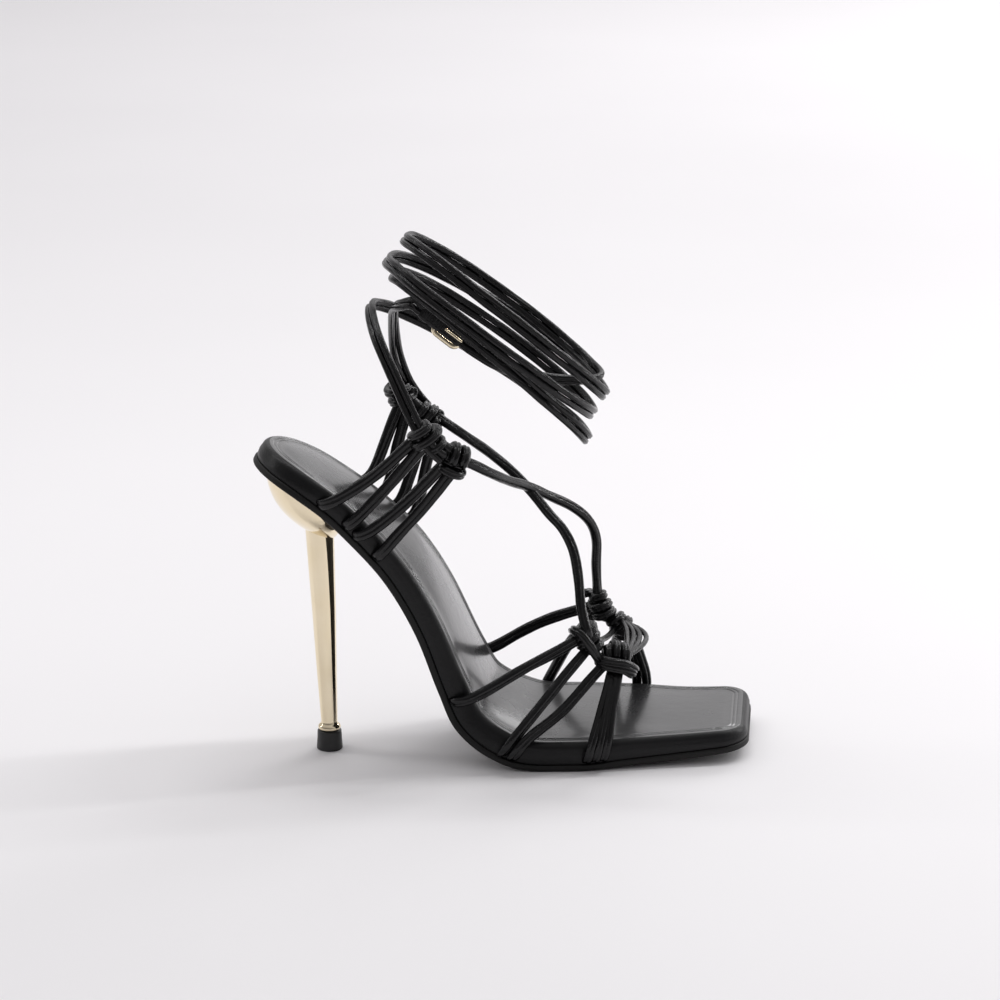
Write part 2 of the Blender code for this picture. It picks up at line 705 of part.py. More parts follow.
slab("outsole", SOLE_SHEET, outsole_rim)
slab("footbed", FOOTBED_COVER, footbed_rim)
heel()
heel_tip()
vamp_straps()
quarter_straps("outer", QUARTER_OUTER, OUTER, OVER, ANKLE)
quarter_straps("inner", QUARTER_INNER, INNER, UNDER, BUCKLE_LINE)
instep_cords()
ankle_cords()
buckle_tab()
buckle_frame()
buckle_pin()
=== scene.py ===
"""Looks of the lace-up stiletto sandal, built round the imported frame.

Tables and sizes are in millimetres in the shoe's own frame: +X from heel to toe, +Y to the inner
side of the foot, +Z up, with the origin on the floor under the ball of the foot. Meshes are scaled
to metres at the end.
"""

import math
from collections import namedtuple

import bmesh
import bpy
import numpy as np
from mathutils import Matrix, Vector


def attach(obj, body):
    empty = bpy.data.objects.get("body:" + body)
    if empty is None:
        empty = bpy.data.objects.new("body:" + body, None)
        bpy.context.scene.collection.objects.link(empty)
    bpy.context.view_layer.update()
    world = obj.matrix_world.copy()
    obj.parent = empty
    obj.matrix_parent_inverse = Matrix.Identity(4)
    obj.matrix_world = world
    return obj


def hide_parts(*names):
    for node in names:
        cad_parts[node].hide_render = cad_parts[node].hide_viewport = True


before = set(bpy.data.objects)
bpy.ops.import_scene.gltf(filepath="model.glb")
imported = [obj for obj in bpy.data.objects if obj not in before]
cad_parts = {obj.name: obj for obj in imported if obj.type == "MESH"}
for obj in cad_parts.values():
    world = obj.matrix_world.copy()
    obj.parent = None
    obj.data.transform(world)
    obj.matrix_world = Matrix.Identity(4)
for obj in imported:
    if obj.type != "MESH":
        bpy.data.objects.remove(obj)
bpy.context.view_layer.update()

# Sizes, most of them shared with the construction
MM = 0.001
GAP = 0.3
CORD = 3.6
CORD_RADIUS = CORD / 2
PAIR_HALF = (CORD + GAP) / 2
LACE_RADIUS = 1.3
LACE_HALF = 1.3
OUTSOLE_THICK = 2.6
OUTSOLE_LEDGE = 0.6
HEEL_END = 25.0
TOE_CORNER = 10.0
RIM_RADIUS = 3.0
FEATHER_RADIUS = 0.5
FEATHER_GAP = 0.05
FINE_STEP = 1.5
CURVE_STEPS = 12
OUTER, INNER = -1, 1

# Sole sections: centre line of the underside, half widths, slant in degrees, whole thickness
Section = namedtuple("Section", "x z outer inner slant thick")
SOLE = (
    Section(-117.0, 117.5, 24.5, 24.5, 0.0, 10.0),
    Section(-105.0, 111.4, 25.5, 25.5, 0.0, 10.0),
    Section(-92.0, 103.0, 25.8, 25.8, 2.0, 10.0),
    Section(-78.0, 90.8, 24.4, 26.0, 7.0, 10.0),
    Section(-64.0, 75.0, 22.4, 25.8, 11.0, 10.0),
    Section(-52.2, 54.0, 21.8, 26.8, 12.0, 10.0),
    Section(-43.0, 29.8, 22.6, 30.0, 12.0, 11.0),
    Section(-37.2, 16.8, 24.0, 32.8, 12.0, 11.8),
    Section(-25.4, 6.4, 27.2, 37.4, 12.0, 12.0),
    Section(-11.0, 0.7, 30.0, 40.8, 10.5, 11.8),
    Section(-4.0, 0.0, 30.6, 41.3, 8.5, 11.6),
    Section(10.0, 0.0, 31.0, 40.8, 8.5, 11.5),
    Section(28.0, 1.2, 29.4, 37.2, 8.5, 10.8),
    Section(52.0, 2.8, 26.8, 30.8, 8.5, 9.6),
    Section(75.5, 5.0, 25.2, 27.8, 9.0, 8.4),
)
TABLE_STEPS = 1200

# Footbed surface: wall bulge, pressed grooves inside the rim, crown of the padded top
WALL_BULGE = 0.3
WALL_STEPS = 6
RIM_STEPS = 9
RIM_SOCK_BANDS = 2
FEATHER_STEPS = 6
GROOVES = (4.0, 5.5)
GROOVE_DEPTH = 0.42
GROOVE_WIDTH = 0.3
GROOVE_STEPS = (3.0, 3.35, 3.6, 3.8, 4.0, 4.2, 4.4, 4.75, 5.1, 5.3, 5.5, 5.7, 5.95, 6.4, 7.2)
CROWN = 0.9
CROWN_TOE = 50.0
CROWN_STEPS = 10
CROWN_EDGE = 8
MEDIAL_TOE = 22.0
SOLE_WELD = 0.01

# Outsole sheet: rounding of its edges, and how far in its flat top starts
SHEET_ROUND = 0.7
SHEET_STEPS = 5
SHEET_INSET = 3.0

# Heel: seat outline on the underside, the cup's rings down to the stem, then rings down the stem
SEAT_CENTRE = 23.0
SEAT_LENGTH = 36.0
SEAT_WIDTH = 38.0
HEEL_SIDES = 72
CUP_STEPS = 26
HEEL_WELD = 0.001
HEEL_SHARP = math.radians(48)
CUP = ((0.0, 0.0), (0.03, 0.20), (0.13, 0.42), (0.34, 0.65), (0.62, 0.84), (0.86, 0.96), (1.0, 1.0))
StemRing = namedtuple("StemRing", "z x radius tilt")
STEM = (
    StemRing(89.0, -92.5, 5.6, 0.42),
    StemRing(86.0, -92.35, 5.5, 0.36),
    StemRing(78.0, -92.05, 5.28, 0.2),
    StemRing(68.0, -91.7, 5.0, 0.08),
    StemRing(58.0, -91.3, 4.7, 0.0),
    StemRing(32.0, -90.6, 3.9, 0.0),
    StemRing(11.4, -89.9, 3.2, 0.0),
    StemRing(10.7, -89.9, 3.35, 0.0),
    StemRing(10.3, -89.9, 3.75, 0.0),
    StemRing(9.9, -89.9, 4.15, 0.0),
    StemRing(9.4, -89.9, 4.4, 0.0),
    StemRing(8.9, -89.9, 4.45, 0.0),
    StemRing(8.4, -89.9, 4.3, 0.0),
    StemRing(8.2, -89.9, 4.0, 0.0),
)
# Heel tip: radius and height of its rings
TIP = (
    (4.0, 7.9), (4.45, 7.75), (4.7, 7.4), (4.72, 7.0), (4.85, 4.0), (5.08, 0.7), (5.05, 0.3),
    (4.9, 0.08), (4.6, 0.0),
)
TIP_SIDES = 48
TIP_SHARP = math.radians(50)

# Knots of the cords
KNOTS = {
    "vamp_back_outer": (6.2, -17.0, 49.0),
    "vamp_front_outer": (20.6, -17.0, 42.0),
    "vamp_back_inner": (17.3, 22.0, 49.7),
    "vamp_front_inner": (27.4, 22.0, 42.0),
    "ankle_outer": (-53.0, -32.0, 134.0),
    "instep_outer": (-41.5, -31.0, 125.4),
    "ankle_inner": (-56.7, 33.0, 135.4),
    "instep_inner": (-46.7, 32.0, 126.4),
}

# Straps from the sole's edge to a knot: place, lean over the rim, cords, bow, aim in the knot
Strap = namedtuple("Strap", "x lean knot cords bow aim_x aim_z")
VAMP_OUTER = (
    Strap(-40.8, 0.5, "vamp_back_outer", 1, 0.0, 0.0, 0.0),
    Strap(-19.4, 3.0, "vamp_back_outer", 1, 0.5, 2.6, -5.5),
    Strap(-15.6, 5.0, "vamp_front_outer", 1, -3.0, -3.6, -2.8),
    Strap(16.0, 3.4, "vamp_front_outer", 3, 1.5, 0.8, -2.5),
)
VAMP_INNER = (
    Strap(-41.5, 2.0, "vamp_back_inner", 1, 2.5, 0.0, 0.0),
    Strap(-13.0, 4.0, "vamp_back_inner", 1, 2.0, -1.0, -3.0),
    Strap(16.0, 3.0, "vamp_front_inner", 1, 2.0, -1.5, -1.5),
    Strap(30.2, 1.0, "vamp_front_inner", 2, 2.0, 1.0, -1.5),
)
QUARTER_OUTER = (
    Strap(-94.4, 5.0, "ankle_outer", 1, -2.0, -1.2, 1.5),
    Strap(-83.6, 1.5, "ankle_outer", 1, 0.0, 1.2, -1.5),
    Strap(-79.6, 3.7, "instep_outer", 1, -2.0, -1.5, 1.2),
    Strap(-70.6, -0.6, "instep_outer", 1, -0.5, 1.5, -1.8),
)
QUARTER_INNER = (
    Strap(-84.4, 3.0, "ankle_inner", 1, 0.5, -1.5, 0.0),
    Strap(-78.5, 2.0, "ankle_inner", 1, 0.5, 1.2, 0.0),
    Strap(-74.0, 2.0, "instep_inner", 1, 0.5, -1.5, 0.0),
    Strap(-69.0, 1.0, "instep_inner", 1, 0.5, 1.5, 0.0),
)

# How a strap passes the sole's edge: tucked into the feather line, past the wall and over the rim
TUCK_OUT, TUCK_UP = -2.0, -0.2
TURN_OUT, TURN_UP, TURN_LEAN = 0.8, 0.4, 0.1
WALL_HEIGHT, WALL_LEAN = 0.48, 0.35
RIM_CLEAR = 0.6
RIM_EASE = 26
ROUTE_STEP = 0.75
BOW_WAY = (0.45, 0.9)
FAN = np.array((0.4, 0.0, 0.3))
STRAP_RADIUS = 2.2
SPACING = {1: 0.0, 2: PAIR_HALF, 3: 1.5}
SLIM = {1: 1.0, 2: 0.92, 3: 0.8}
STRAP_SHAPE = np.array((0.82, 1.04))
FLAT_SHAPE = np.array((0.36, 1.1))
FLAT_RUN = 9.0

# Cords over the toes, between the two front knots, from the innermost to the outermost
TOE_CORDS, TOE_POINTS = 4, 13
TOE_RADIUS = 1.05
TOE_FORWARD, TOE_UP = (1.4, 9.0), (2.4, 0.6)
TOE_INNER, TOE_OUTER = np.array((26.4, 20.0, 43.5)), np.array((24.6, -17.0, 41.4))
VAMP_BAR = (
    (8.0, -17.0, 48.0), (14.0, -14.0, 47.0), (19.0, 0.0, 44.0), (24.0, 18.0, 41.0),
    (27.4, 22.0, 41.0),
)
BAR_RADIUS = 1.2
TOE_FACING, TOE_CREASE, BAR_CREASE = (0.7, 0.0, 0.7), 0.4, 0.5

# Cords over the instep, which cross at its middle
INSTEP_OVER = (
    (-41.5, -31.0, 125.4), (-36.0, -29.0, 123.6), (-28.0, -23.0, 117.8), (-20.5, -13.0, 112.0),
    (-12.7, -2.6, 106.4), (-4.5, 5.0, 100.8), (5.0, 11.0, 94.6), (12.4, 15.0, 87.2),
    (15.9, 18.0, 78.8), (16.3, 20.0, 66.6), (17.3, 22.0, 49.7),
)
INSTEP_UNDER = (
    (-46.7, 32.0, 126.4), (-42.0, 29.0, 123.4), (-33.5, 21.0, 119.0), (-26.0, 13.0, 115.6),
    (-18.8, 6.0, 111.0), (-12.5, 0.6, 105.2), (-4.7, -5.0, 96.6), (0.8, -9.0, 91.0),
    (4.4, -12.0, 83.5), (6.3, -14.6, 72.8), (7.4, -18.0, 62.0), (9.2, -21.6, 53.6),
    (10.2, -20.0, 49.0),
)
INSTEP_RADIUS = 1.95
INSTEP_FACING = (0.3, -0.8, 0.5)

# Ankle cords: through the outer knot, then half turns between the back and the front of the ankle
ANKLE_AXIS_POINT = np.array((-25.0, 0.0, 165.0))
ANKLE_AXIS = np.array((0.615, 0.0, 0.789))
OUTER_RISE = (
    (-46.6, -35.4, 127.6), (-50.2, -36.0, 131.2), (-54.4, -34.6, 137.0), (-59.0, -31.6, 145.8),
    (-64.0, -26.5, 157.0), (-70.0, -16.0, 169.5),
)
Turn = namedtuple("Turn", "x z half_depth lift")
TURNS = (
    Turn(-72.0, 176.7, 31.0, 1.5),
    Turn(10.5, 124.6, 24.0, 6.5),
    Turn(-63.0, 189.0, 27.0, 2.3),
    Turn(12.5, 134.9, 32.5, 4.3),
    Turn(-65.3, 194.8, 31.0, 3.2),
    Turn(17.0, 142.0, 26.0, 5.7),
    Turn(-58.5, 203.0, 27.0, 1.3),
    Turn(14.8, 148.6, 0.0, 0.0),
)
TURN_STEPS = 8
OUTER_END = (
    (6.0, -6.0, 149.2), (-6.0, -11.8, 151.2), (-16.5, -15.2, 154.8), (-26.0, -16.6, 159.2),
)

# Buckle cords: from the inner knot, round the back to the tab on the outer side
INNER_RISE = (
    (-50.2, 36.0, 128.6), (-53.4, 36.6, 132.4), (-56.8, 35.6, 138.0), (-60.0, 32.0, 146.5),
    (-62.0, 27.0, 155.0), (-62.8, 19.0, 164.0), (-63.0, 10.0, 171.5), (-62.6, 2.0, 176.5),
    (-60.6, -6.5, 179.2),
)
TAB_START = np.array((-53.2, -12.5, 178.8))
TAB_END = np.array((-37.5, -15.6, 166.8))
TAB_RUN = 4.0
TAB_WIDTH = 5.8
TAB_THICK = 2.2
FRAME_LENGTH = 11.0
FRAME_WIDTH = 8.4
FRAME_CORNER = 2.0
FRAME_WIRE = 1.6
FRAME_SHAPE = (1.0, 1.3)
CORNER_STEPS = 9
BUCKLE_STEP = 0.8
TAB_SHORT, TAB_DOME = 1.2, 1.0
FRAME_SHIFT = 3.6
PIN_WIRE = 1.2
PIN_START = -1.5
STITCH_RADIUS, STITCH_LENGTH, STITCH_STEP, STITCH_INSET = 0.22, 1.3, 2.1, 1.2
STITCH_FIRST, STITCH_LAST, STITCH_FINE, STITCH_SIDES = 2.4, 2.0, 0.4, 8

# Leather cord section: angles from the pressed crease and how far each lies from the middle
CREASE_ANGLES = (0.0, 0.13, 0.28, 0.5, 0.85, 1.25)
CREASE_SHAPE = (0.66, 0.78, 0.92, 0.99, 1.0, 1.0)
DOME_ANGLES = (22, 45, 66, 82)
LACE_CREASE, LACE_WANDER = 0.45, 0.5

# Unevenness of a cord: sizes, and the lengths over which they come and go
DRIFT_LENGTHS, DRIFT_SECOND = (17.0, 6.1), 0.6
SWELL_SIZES, SWELL_LENGTHS = (0.02, 0.016), (4.7, 2.1)
LOBE_SIZE, LOBE_LENGTH = 0.022, 5.0
SWAY_SIZE, SWAY_LENGTH = 0.05, 5.3

# Knots: cord, fillings, and how a coil's ends are tucked in
KNOT_STEP = 0.9
KNOT_CORD = 1.85
CORE_RADIUS, CORE_SHORT = 2.9, 1.0
FILLER_RADIUS = 3.0
COIL_STEPS = 24
TUCK_TURN, TUCK_REACH = 0.22, 0.45
UNEVEN_SIZE, UNEVEN_PACE = 0.07, 1.37

# Coils wound in the knots: place from the knot's centre, axis, half sizes, turns and pitch
Coil = namedtuple("Coil", "x out z axis_x axis_z across depth turns pitch")
KNOT_COILS = {
    "vamp_back_outer": (Coil(3.8, 0.0, 0.4, 0.40, -0.92, 3.6, 3.6, 2.6, 3.6),),
    "vamp_front_outer": (Coil(0.6, 0.0, 1.0, 0.97, -0.22, 3.5, 3.7, 2.4, 3.5),),
    "vamp_back_inner": (Coil(1.2, 0.0, -0.8, 0.50, -0.87, 3.3, 3.6, 2.6, 3.9),),
    "vamp_front_inner": (
        Coil(-1.5, 0.0, -0.5, 0.75, -0.66, 3.3, 3.6, 2.0, 3.6),
        Coil(1.6, 0.2, -3.2, 0.10, -1.0, 4.2, 4.2, 1.3, 3.4),
    ),
    "ankle_outer": (Coil(0.8, 0.4, 0.4, 0.46, -0.89, 5.0, 4.6, 2.3, 4.4),),
    "instep_outer": (
        Coil(0.4, 0.0, 1.8, 0.88, -0.47, 3.4, 4.0, 2.2, 3.6),
        Coil(-0.6, 0.4, -3.0, -0.55, -0.83, 4.0, 4.3, 1.4, 3.5),
    ),
    "ankle_inner": (Coil(-3.2, 0.4, -1.2, 0.50, -0.87, 4.0, 4.4, 2.3, 4.2),),
    "instep_inner": (
        Coil(-3.0, 0.0, -0.6, 0.84, -0.55, 3.5, 4.0, 2.4, 3.6),
        Coil(-3.4, 0.4, -6.0, -0.35, -0.94, 4.0, 4.3, 1.4, 3.5),
    ),
}

# Cords laid over a knot's outside: points as (x, out, z) from its centre
KNOT_BANDS = {
    "vamp_back_outer": (
        (
            (-1.8, -1.0, 3.4), (-1.4, 3.2, 4.6), (0.6, 6.0, 4.2), (3.2, 7.0, 0.8), (6.0, 6.4, -3.8),
            (8.0, 3.6, -7.4), (8.4, 0.0, -8.6),
        ),
    ),
    "vamp_front_outer": (
        (
            (-7.2, 0.5, 0.6), (-5.0, 4.6, 0.0), (-1.2, 6.7, -0.4), (3.0, 6.9, -1.2),
            (6.0, 5.2, -3.2), (7.4, 1.8, -5.2), (7.0, -1.8, -6.0), (4.4, -4.2, -5.4),
            (0.8, -4.4, -3.8), (-2.0, -2.6, -2.4),
        ),
        (
            (-6.4, 0.0, -2.2), (-4.4, 4.0, -2.6), (-1.0, 6.0, -2.9), (2.6, 6.2, -3.6),
            (5.0, 4.6, -5.2), (6.2, 1.6, -7.0), (5.8, -1.6, -7.6), (3.4, -3.6, -6.6),
            (0.4, -3.6, -4.8), (-1.8, -2.0, -3.2),
        ),
    ),
    "vamp_back_inner": (
        ((-5.2, 1.0, 4.8), (-2.4, 5.6, 3.4), (1.0, 6.6, 0.0), (4.0, 5.6, -4.0), (5.6, 2.0, -6.4)),
    ),
}

# Studio, in metres and watts: brightness of the surroundings at the middle, its rise along X, Y and
# Z, and its least
STUDIO_LEVEL = 0.36
STUDIO_SLOPE = (0.10, 0.26, 0.28)
STUDIO_LEAST = 0.06
STUDIO_TINT = (1.0, 0.985, 1.0)
FLOOR_PALE = 0.85
FLOOR_HALF = 6.0

# Arch of narrow lamps over the shoe, in degrees and watts: it draws a bright line along the cords
ARCH_MIDDLE = Vector((-0.02, 0.0, 0.1))
ARCH_RADIUS = 1.15
ARCH_BACK = 0.22
ARCH_STRIP = (0.56, 0.05)
ARCH_LAMPS = ((18, 2.7), (54, 2.6), (90, 2.0), (126, 1.2), (162, 0.7))

# Soft lamps over the floor behind the shoe
SoftLamp = namedtuple("SoftLamp", "name place aim size watts")
SOFT_LAMPS = (
    SoftLamp("backdrop", (1.4, 1.8, 1.2), (1.0, 1.9, 0.0), (1.2, 1.2), 18.0),
    SoftLamp("far_floor", (0.1, 1.9, 1.5), (0.1, 1.8, 0.0), (2.0, 1.4), 5.5),
)
SOFT_TINT = (1.0, 0.99, 1.0)

# Camera: where it stands and where it looks, then its lens in millimetres
CAMERA_SPOT = Vector((-0.08715, -1.14879, 0.44116))
CAMERA_AIM = Vector((-0.02292, 0.0, 0.10035))
CAMERA_LENS, CAMERA_SENSOR = 112.2, 36.0

# Part of a noise's range that is used in the materials
NOISE_LOW, NOISE_HIGH = 0.3, 0.7

RANDOM = np.random.default_rng(11)


# Sole as a bent sheet: u runs along it from the heel's back, y across it, h up from its underside
def eased(knots, values, at):
    """A smooth curve through the values that never swings past them."""
    slopes = np.diff(values) / np.diff(knots)
    same_way = slopes[:-1] * slopes[1:] > 0
    inside = np.zeros(len(slopes) - 1)
    inside[same_way] = 2 / (1 / slopes[:-1][same_way] + 1 / slopes[1:][same_way])
    tangents = np.concatenate([[slopes[0]], inside, [slopes[-1]]])
    i = np.clip(np.searchsorted(knots, at) - 1, 0, len(slopes) - 1)
    span = knots[i + 1] - knots[i]
    t = (at - knots[i]) / span
    return (
        values[i] * (1 + 2 * t) * (1 - t) ** 2
        + tangents[i] * span * t * (1 - t) ** 2
        + values[i + 1] * t * t * (3 - 2 * t)
        + tangents[i + 1] * span * t * t * (t - 1)
    )


COLUMNS = dict(zip(Section._fields, np.array(SOLE, float).T))
SECTION_STEPS = np.hypot(np.diff(COLUMNS["x"]), np.diff(COLUMNS["z"]))
SECTION_U = np.concatenate([[0.0], np.cumsum(SECTION_STEPS)])
LENGTH = float(SECTION_U[-1])
FINE_U = np.linspace(0.0, LENGTH, TABLE_STEPS)
TABLE = {name: eased(SECTION_U, values, FINE_U) for name, values in COLUMNS.items()}
RISE_X, RISE_Z = np.gradient(TABLE["x"]), np.gradient(TABLE["z"])
TABLE["along_x"] = RISE_X / np.hypot(RISE_X, RISE_Z)
TABLE["along_z"] = RISE_Z / np.hypot(RISE_X, RISE_Z)


def section(column, u):
    return np.interp(u, FINE_U, TABLE[column])


def u_at(x):
    return float(np.interp(x, COLUMNS["x"], SECTION_U))


def place(u, y, h):
    """Points at h above the underside of the bent sole."""
    inside = np.clip(u, 0.0, LENGTH)
    along_x, along_z = section("along_x", inside), section("along_z", inside)
    slant = np.tan(np.radians(section("slant", inside)))
    x = section("x", inside) + (u - inside) * along_x + y * slant - along_z * h
    z = section("z", inside) + (u - inside) * along_z + along_x * h
    return np.stack([x, np.broadcast_to(y, np.shape(x)), z], axis=-1)


def half_width(u, side):
    width = section("outer" if side == OUTER else "inner", u)
    heel = np.clip((HEEL_END - u) / HEEL_END, 0.0, 1.0)
    corner = np.clip(u - (LENGTH - TOE_CORNER), 0.0, TOE_CORNER)
    return width * np.sqrt(1 - heel**2) - (TOE_CORNER - np.sqrt(TOE_CORNER**2 - corner**2))


def edge(u, side, outset):
    """A point of the sole's outline moved outwards by outset, flat on the sheet, as (u, y)."""
    nudge = 0.05
    low, high = max(u - nudge, 0.0), min(u + nudge, LENGTH)
    run, rise = high - low, half_width(high, side) - half_width(low, side)
    size = math.hypot(run, rise)
    return u - rise / size * outset, side * (half_width(u, side) + run / size * outset)


def outline(step, heel_steps, corner_steps, front_steps):
    """The sole's outline on the flat sheet, up the inner side, round the toe and back."""
    turn = np.linspace(0.0, math.pi / 2, heel_steps)
    corner = np.linspace(0.0, math.pi / 2, corner_steps)
    toe = LENGTH - TOE_CORNER
    middle = np.linspace(HEEL_END, toe, round((toe - HEEL_END) / step))
    u = np.concatenate(
        [HEEL_END * (1 - np.cos(turn)), middle[1:-1], toe + TOE_CORNER * np.sin(corner)]
    )
    inner, outer = half_width(u, INNER), -half_width(u, OUTER)
    front = np.linspace(inner[-1], outer[-1], front_steps)[1:-1]
    up_side, back_side = np.stack([u, inner], 1), np.stack([u, outer], 1)[:0:-1]
    return np.concatenate([up_side, np.stack([np.full_like(front, LENGTH), front], 1), back_side])


OUTLINE = outline(step=2.2, heel_steps=26, corner_steps=16, front_steps=22)
LEADING = np.roll(OUTLINE, -1, axis=0) - np.roll(OUTLINE, 1, axis=0)
OUTWARD = np.stack([-LEADING[:, 1], LEADING[:, 0]], 1) / np.linalg.norm(LEADING, axis=1)[:, None]
MEDIAL_U = np.clip(OUTLINE[:, 0], HEEL_END, LENGTH - MEDIAL_TOE)
MEDIAL = np.stack([MEDIAL_U, np.zeros(len(OUTLINE))], 1)


def rim_ring(outset, height):
    """The outline moved outwards and lifted to a height, one for all points or one for each."""
    moved = OUTLINE + OUTWARD * outset
    return place(moved[:, 0], moved[:, 1], height)


def inner_ring(inset, way, height):
    """The outline moved in by inset and then part of the way to the sole's middle line.

    The height is one for all points, or a function of u, y and the way.
    """
    u, y = ((OUTLINE - OUTWARD * inset) * (1 - way) + MEDIAL * way).T
    return place(u, y, height(u, y, way) if callable(height) else height)


# Meshes
def mesh_of(name, points, faces, kinds=None, weld=0.0):
    """A smooth closed mesh in metres from points in millimetres, with its faces outwards."""
    mesh = bpy.data.meshes.new(name)
    mesh.from_pydata((np.asarray(points) * MM).tolist(), [], [list(face) for face in faces])
    if kinds is not None:
        mesh.polygons.foreach_set("material_index", np.asarray(kinds, np.int32))
    if weld:
        bm = bmesh.new()
        bm.from_mesh(mesh)
        bmesh.ops.remove_doubles(bm, verts=bm.verts, dist=weld * MM)
        bmesh.ops.recalc_face_normals(bm, faces=bm.faces)
        bm.to_mesh(mesh)
        bm.free()
    mesh.shade_smooth()
    return mesh


def skin(rings):
    """Points and quads between rings of equal counts."""
    count = len(rings[0])
    index = np.arange(len(rings) * count).reshape(len(rings), count)
    along = np.roll(index, -1, axis=1)
    quads = np.stack([index[:-1], along[:-1], along[1:], index[1:]], axis=-1).reshape(-1, 4)
    return np.concatenate(rings), quads.tolist()


def piece(name, mesh, materials, slot, *nodes):
    """A finished piece of the shoe that stands for the named nodes."""
    obj = bpy.data.objects.new(name, mesh)
    bpy.context.scene.collection.objects.link(obj)
    for material in materials:
        mesh.materials.append(material)
    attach(obj, "root")
    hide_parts(*nodes)
    return obj


# Materials
def shader_of(name, colour, roughness, metallic=0.0):
    material = bpy.data.materials.new(name)
    material.use_nodes = True
    tree = material.node_tree
    shader = tree.nodes["Principled BSDF"]
    shader.inputs["Base Color"].default_value = (*colour, 1.0)
    shader.inputs["Roughness"].default_value = roughness
    shader.inputs["Metallic"].default_value = metallic
    return material, tree, shader


def node(tree, kind, **values):
    """A node with its named inputs set."""
    made = tree.nodes.new(kind)
    for name, value in values.items():
        made.inputs[name.replace("_", " ")].default_value = value
    return made


def noise(tree, place_in, scale, detail=4.0, stretch=(1.0, 1.0, 1.0)):
    mapping = node(tree, "ShaderNodeMapping", Scale=stretch)
    texture = node(tree, "ShaderNodeTexNoise", Scale=scale, Detail=detail)
    tree.links.new(place_in, mapping.inputs["Vector"])
    tree.links.new(mapping.outputs["Vector"], texture.inputs["Vector"])
    return texture.outputs["Fac"]


def ranged(tree, source, low, high):
    """The middle of a noise spread over the given range."""
    made = node(tree, "ShaderNodeMapRange", To_Min=low, To_Max=high)
    made.inputs["From Min"].default_value = NOISE_LOW
    made.inputs["From Max"].default_value = NOISE_HIGH
    tree.links.new(source, made.inputs["Value"])
    return made.outputs["Result"]


def tinted(tree, source, dark, pale):
    ramp = tree.nodes.new("ShaderNodeValToRGB")
    ramp.color_ramp.elements[0].color = (*dark, 1.0)
    ramp.color_ramp.elements[1].color = (*pale, 1.0)
    ramp.color_ramp.elements[0].position = NOISE_LOW
    ramp.color_ramp.elements[1].position = NOISE_HIGH
    tree.links.new(source, ramp.inputs["Fac"])
    return ramp.outputs["Color"]


def bumped(tree, source, distance, strength=1.0, below=None):
    """A bump of so many metres from the source, on top of another if one is given."""
    bump = node(tree, "ShaderNodeBump", Strength=strength, Distance=distance)
    tree.links.new(source, bump.inputs["Height"])
    if below is not None:
        tree.links.new(below, bump.inputs["Normal"])
    return bump.outputs["Normal"]


def coordinates(tree, kind="Object"):
    return tree.nodes.new("ShaderNodeTexCoord").outputs[kind]


def wired(tree, shader, colour, roughness, normal):
    for socket, source in (("Base Color", colour), ("Roughness", roughness), ("Normal", normal)):
        tree.links.new(source, shader.inputs[socket])


def cord_leather():
    """Rolled black leather: fine creases along the cord, cross wrinkles, uneven sheen."""
    material, tree, shader = shader_of("cord_leather", (0.004, 0.004, 0.0045), 0.24)
    shader.inputs["Specular IOR Level"].default_value = 0.34
    uv, place_in = coordinates(tree, "UV"), coordinates(tree)
    along = noise(tree, uv, 6.0, 5.0, (0.09, 3.0, 1.0))
    cross = noise(tree, uv, 4.0, 4.0, (0.55, 0.7, 1.0))
    grain = noise(tree, place_in, 2600.0, 3.0)
    patches = noise(tree, place_in, 160.0, 3.0)
    colour = tinted(tree, along, (0.002, 0.002, 0.0024), (0.006, 0.0058, 0.0064))
    first = bumped(tree, along, 0.00012)
    second = bumped(tree, cross, 0.0001, below=first)
    third = bumped(tree, grain, 0.00003, below=second)
    wired(tree, shader, colour, ranged(tree, patches, 0.09, 0.17), third)
    return material


def covered_leather(name, dark, pale, rough, grain_depth, gloss, shine):
    """Smooth black leather drawn over the footbed, with a fine pebbled grain and a gloss coat."""
    material, tree, shader = shader_of(name, pale, rough[0])
    shader.inputs["Coat Weight"].default_value = gloss
    shader.inputs["Specular IOR Level"].default_value = shine
    shader.inputs["Coat Roughness"].default_value = 0.16
    place_in = coordinates(tree)
    pebble = node(tree, "ShaderNodeTexVoronoi", Scale=1500.0, Randomness=1.0)
    tree.links.new(place_in, pebble.inputs["Vector"])
    patches = noise(tree, place_in, 45.0, 5.0)
    ripples = noise(tree, place_in, 130.0, 3.0)
    soft = bumped(tree, ripples, 0.0004, 0.5)
    grain = bumped(tree, pebble.outputs["Distance"], grain_depth, below=soft)
    wired(tree, shader, tinted(tree, patches, dark, pale), ranged(tree, patches, *rough), grain)
    return material


def sole_sheet():
    """Matte rubber sheet with a fine sanded tooth."""
    material, tree, shader = shader_of("sole_sheet", (0.005, 0.0048, 0.0045), 0.55)
    shader.inputs["Specular IOR Level"].default_value = 0.3
    place_in = coordinates(tree)
    tooth = noise(tree, place_in, 1800.0, 4.0)
    patches = noise(tree, place_in, 60.0, 4.0)
    colour = tinted(tree, patches, (0.003, 0.003, 0.003), (0.007, 0.0067, 0.0062))
    wired(tree, shader, colour, ranged(tree, patches, 0.42, 0.62), bumped(tree, tooth, 0.00006))
    return material


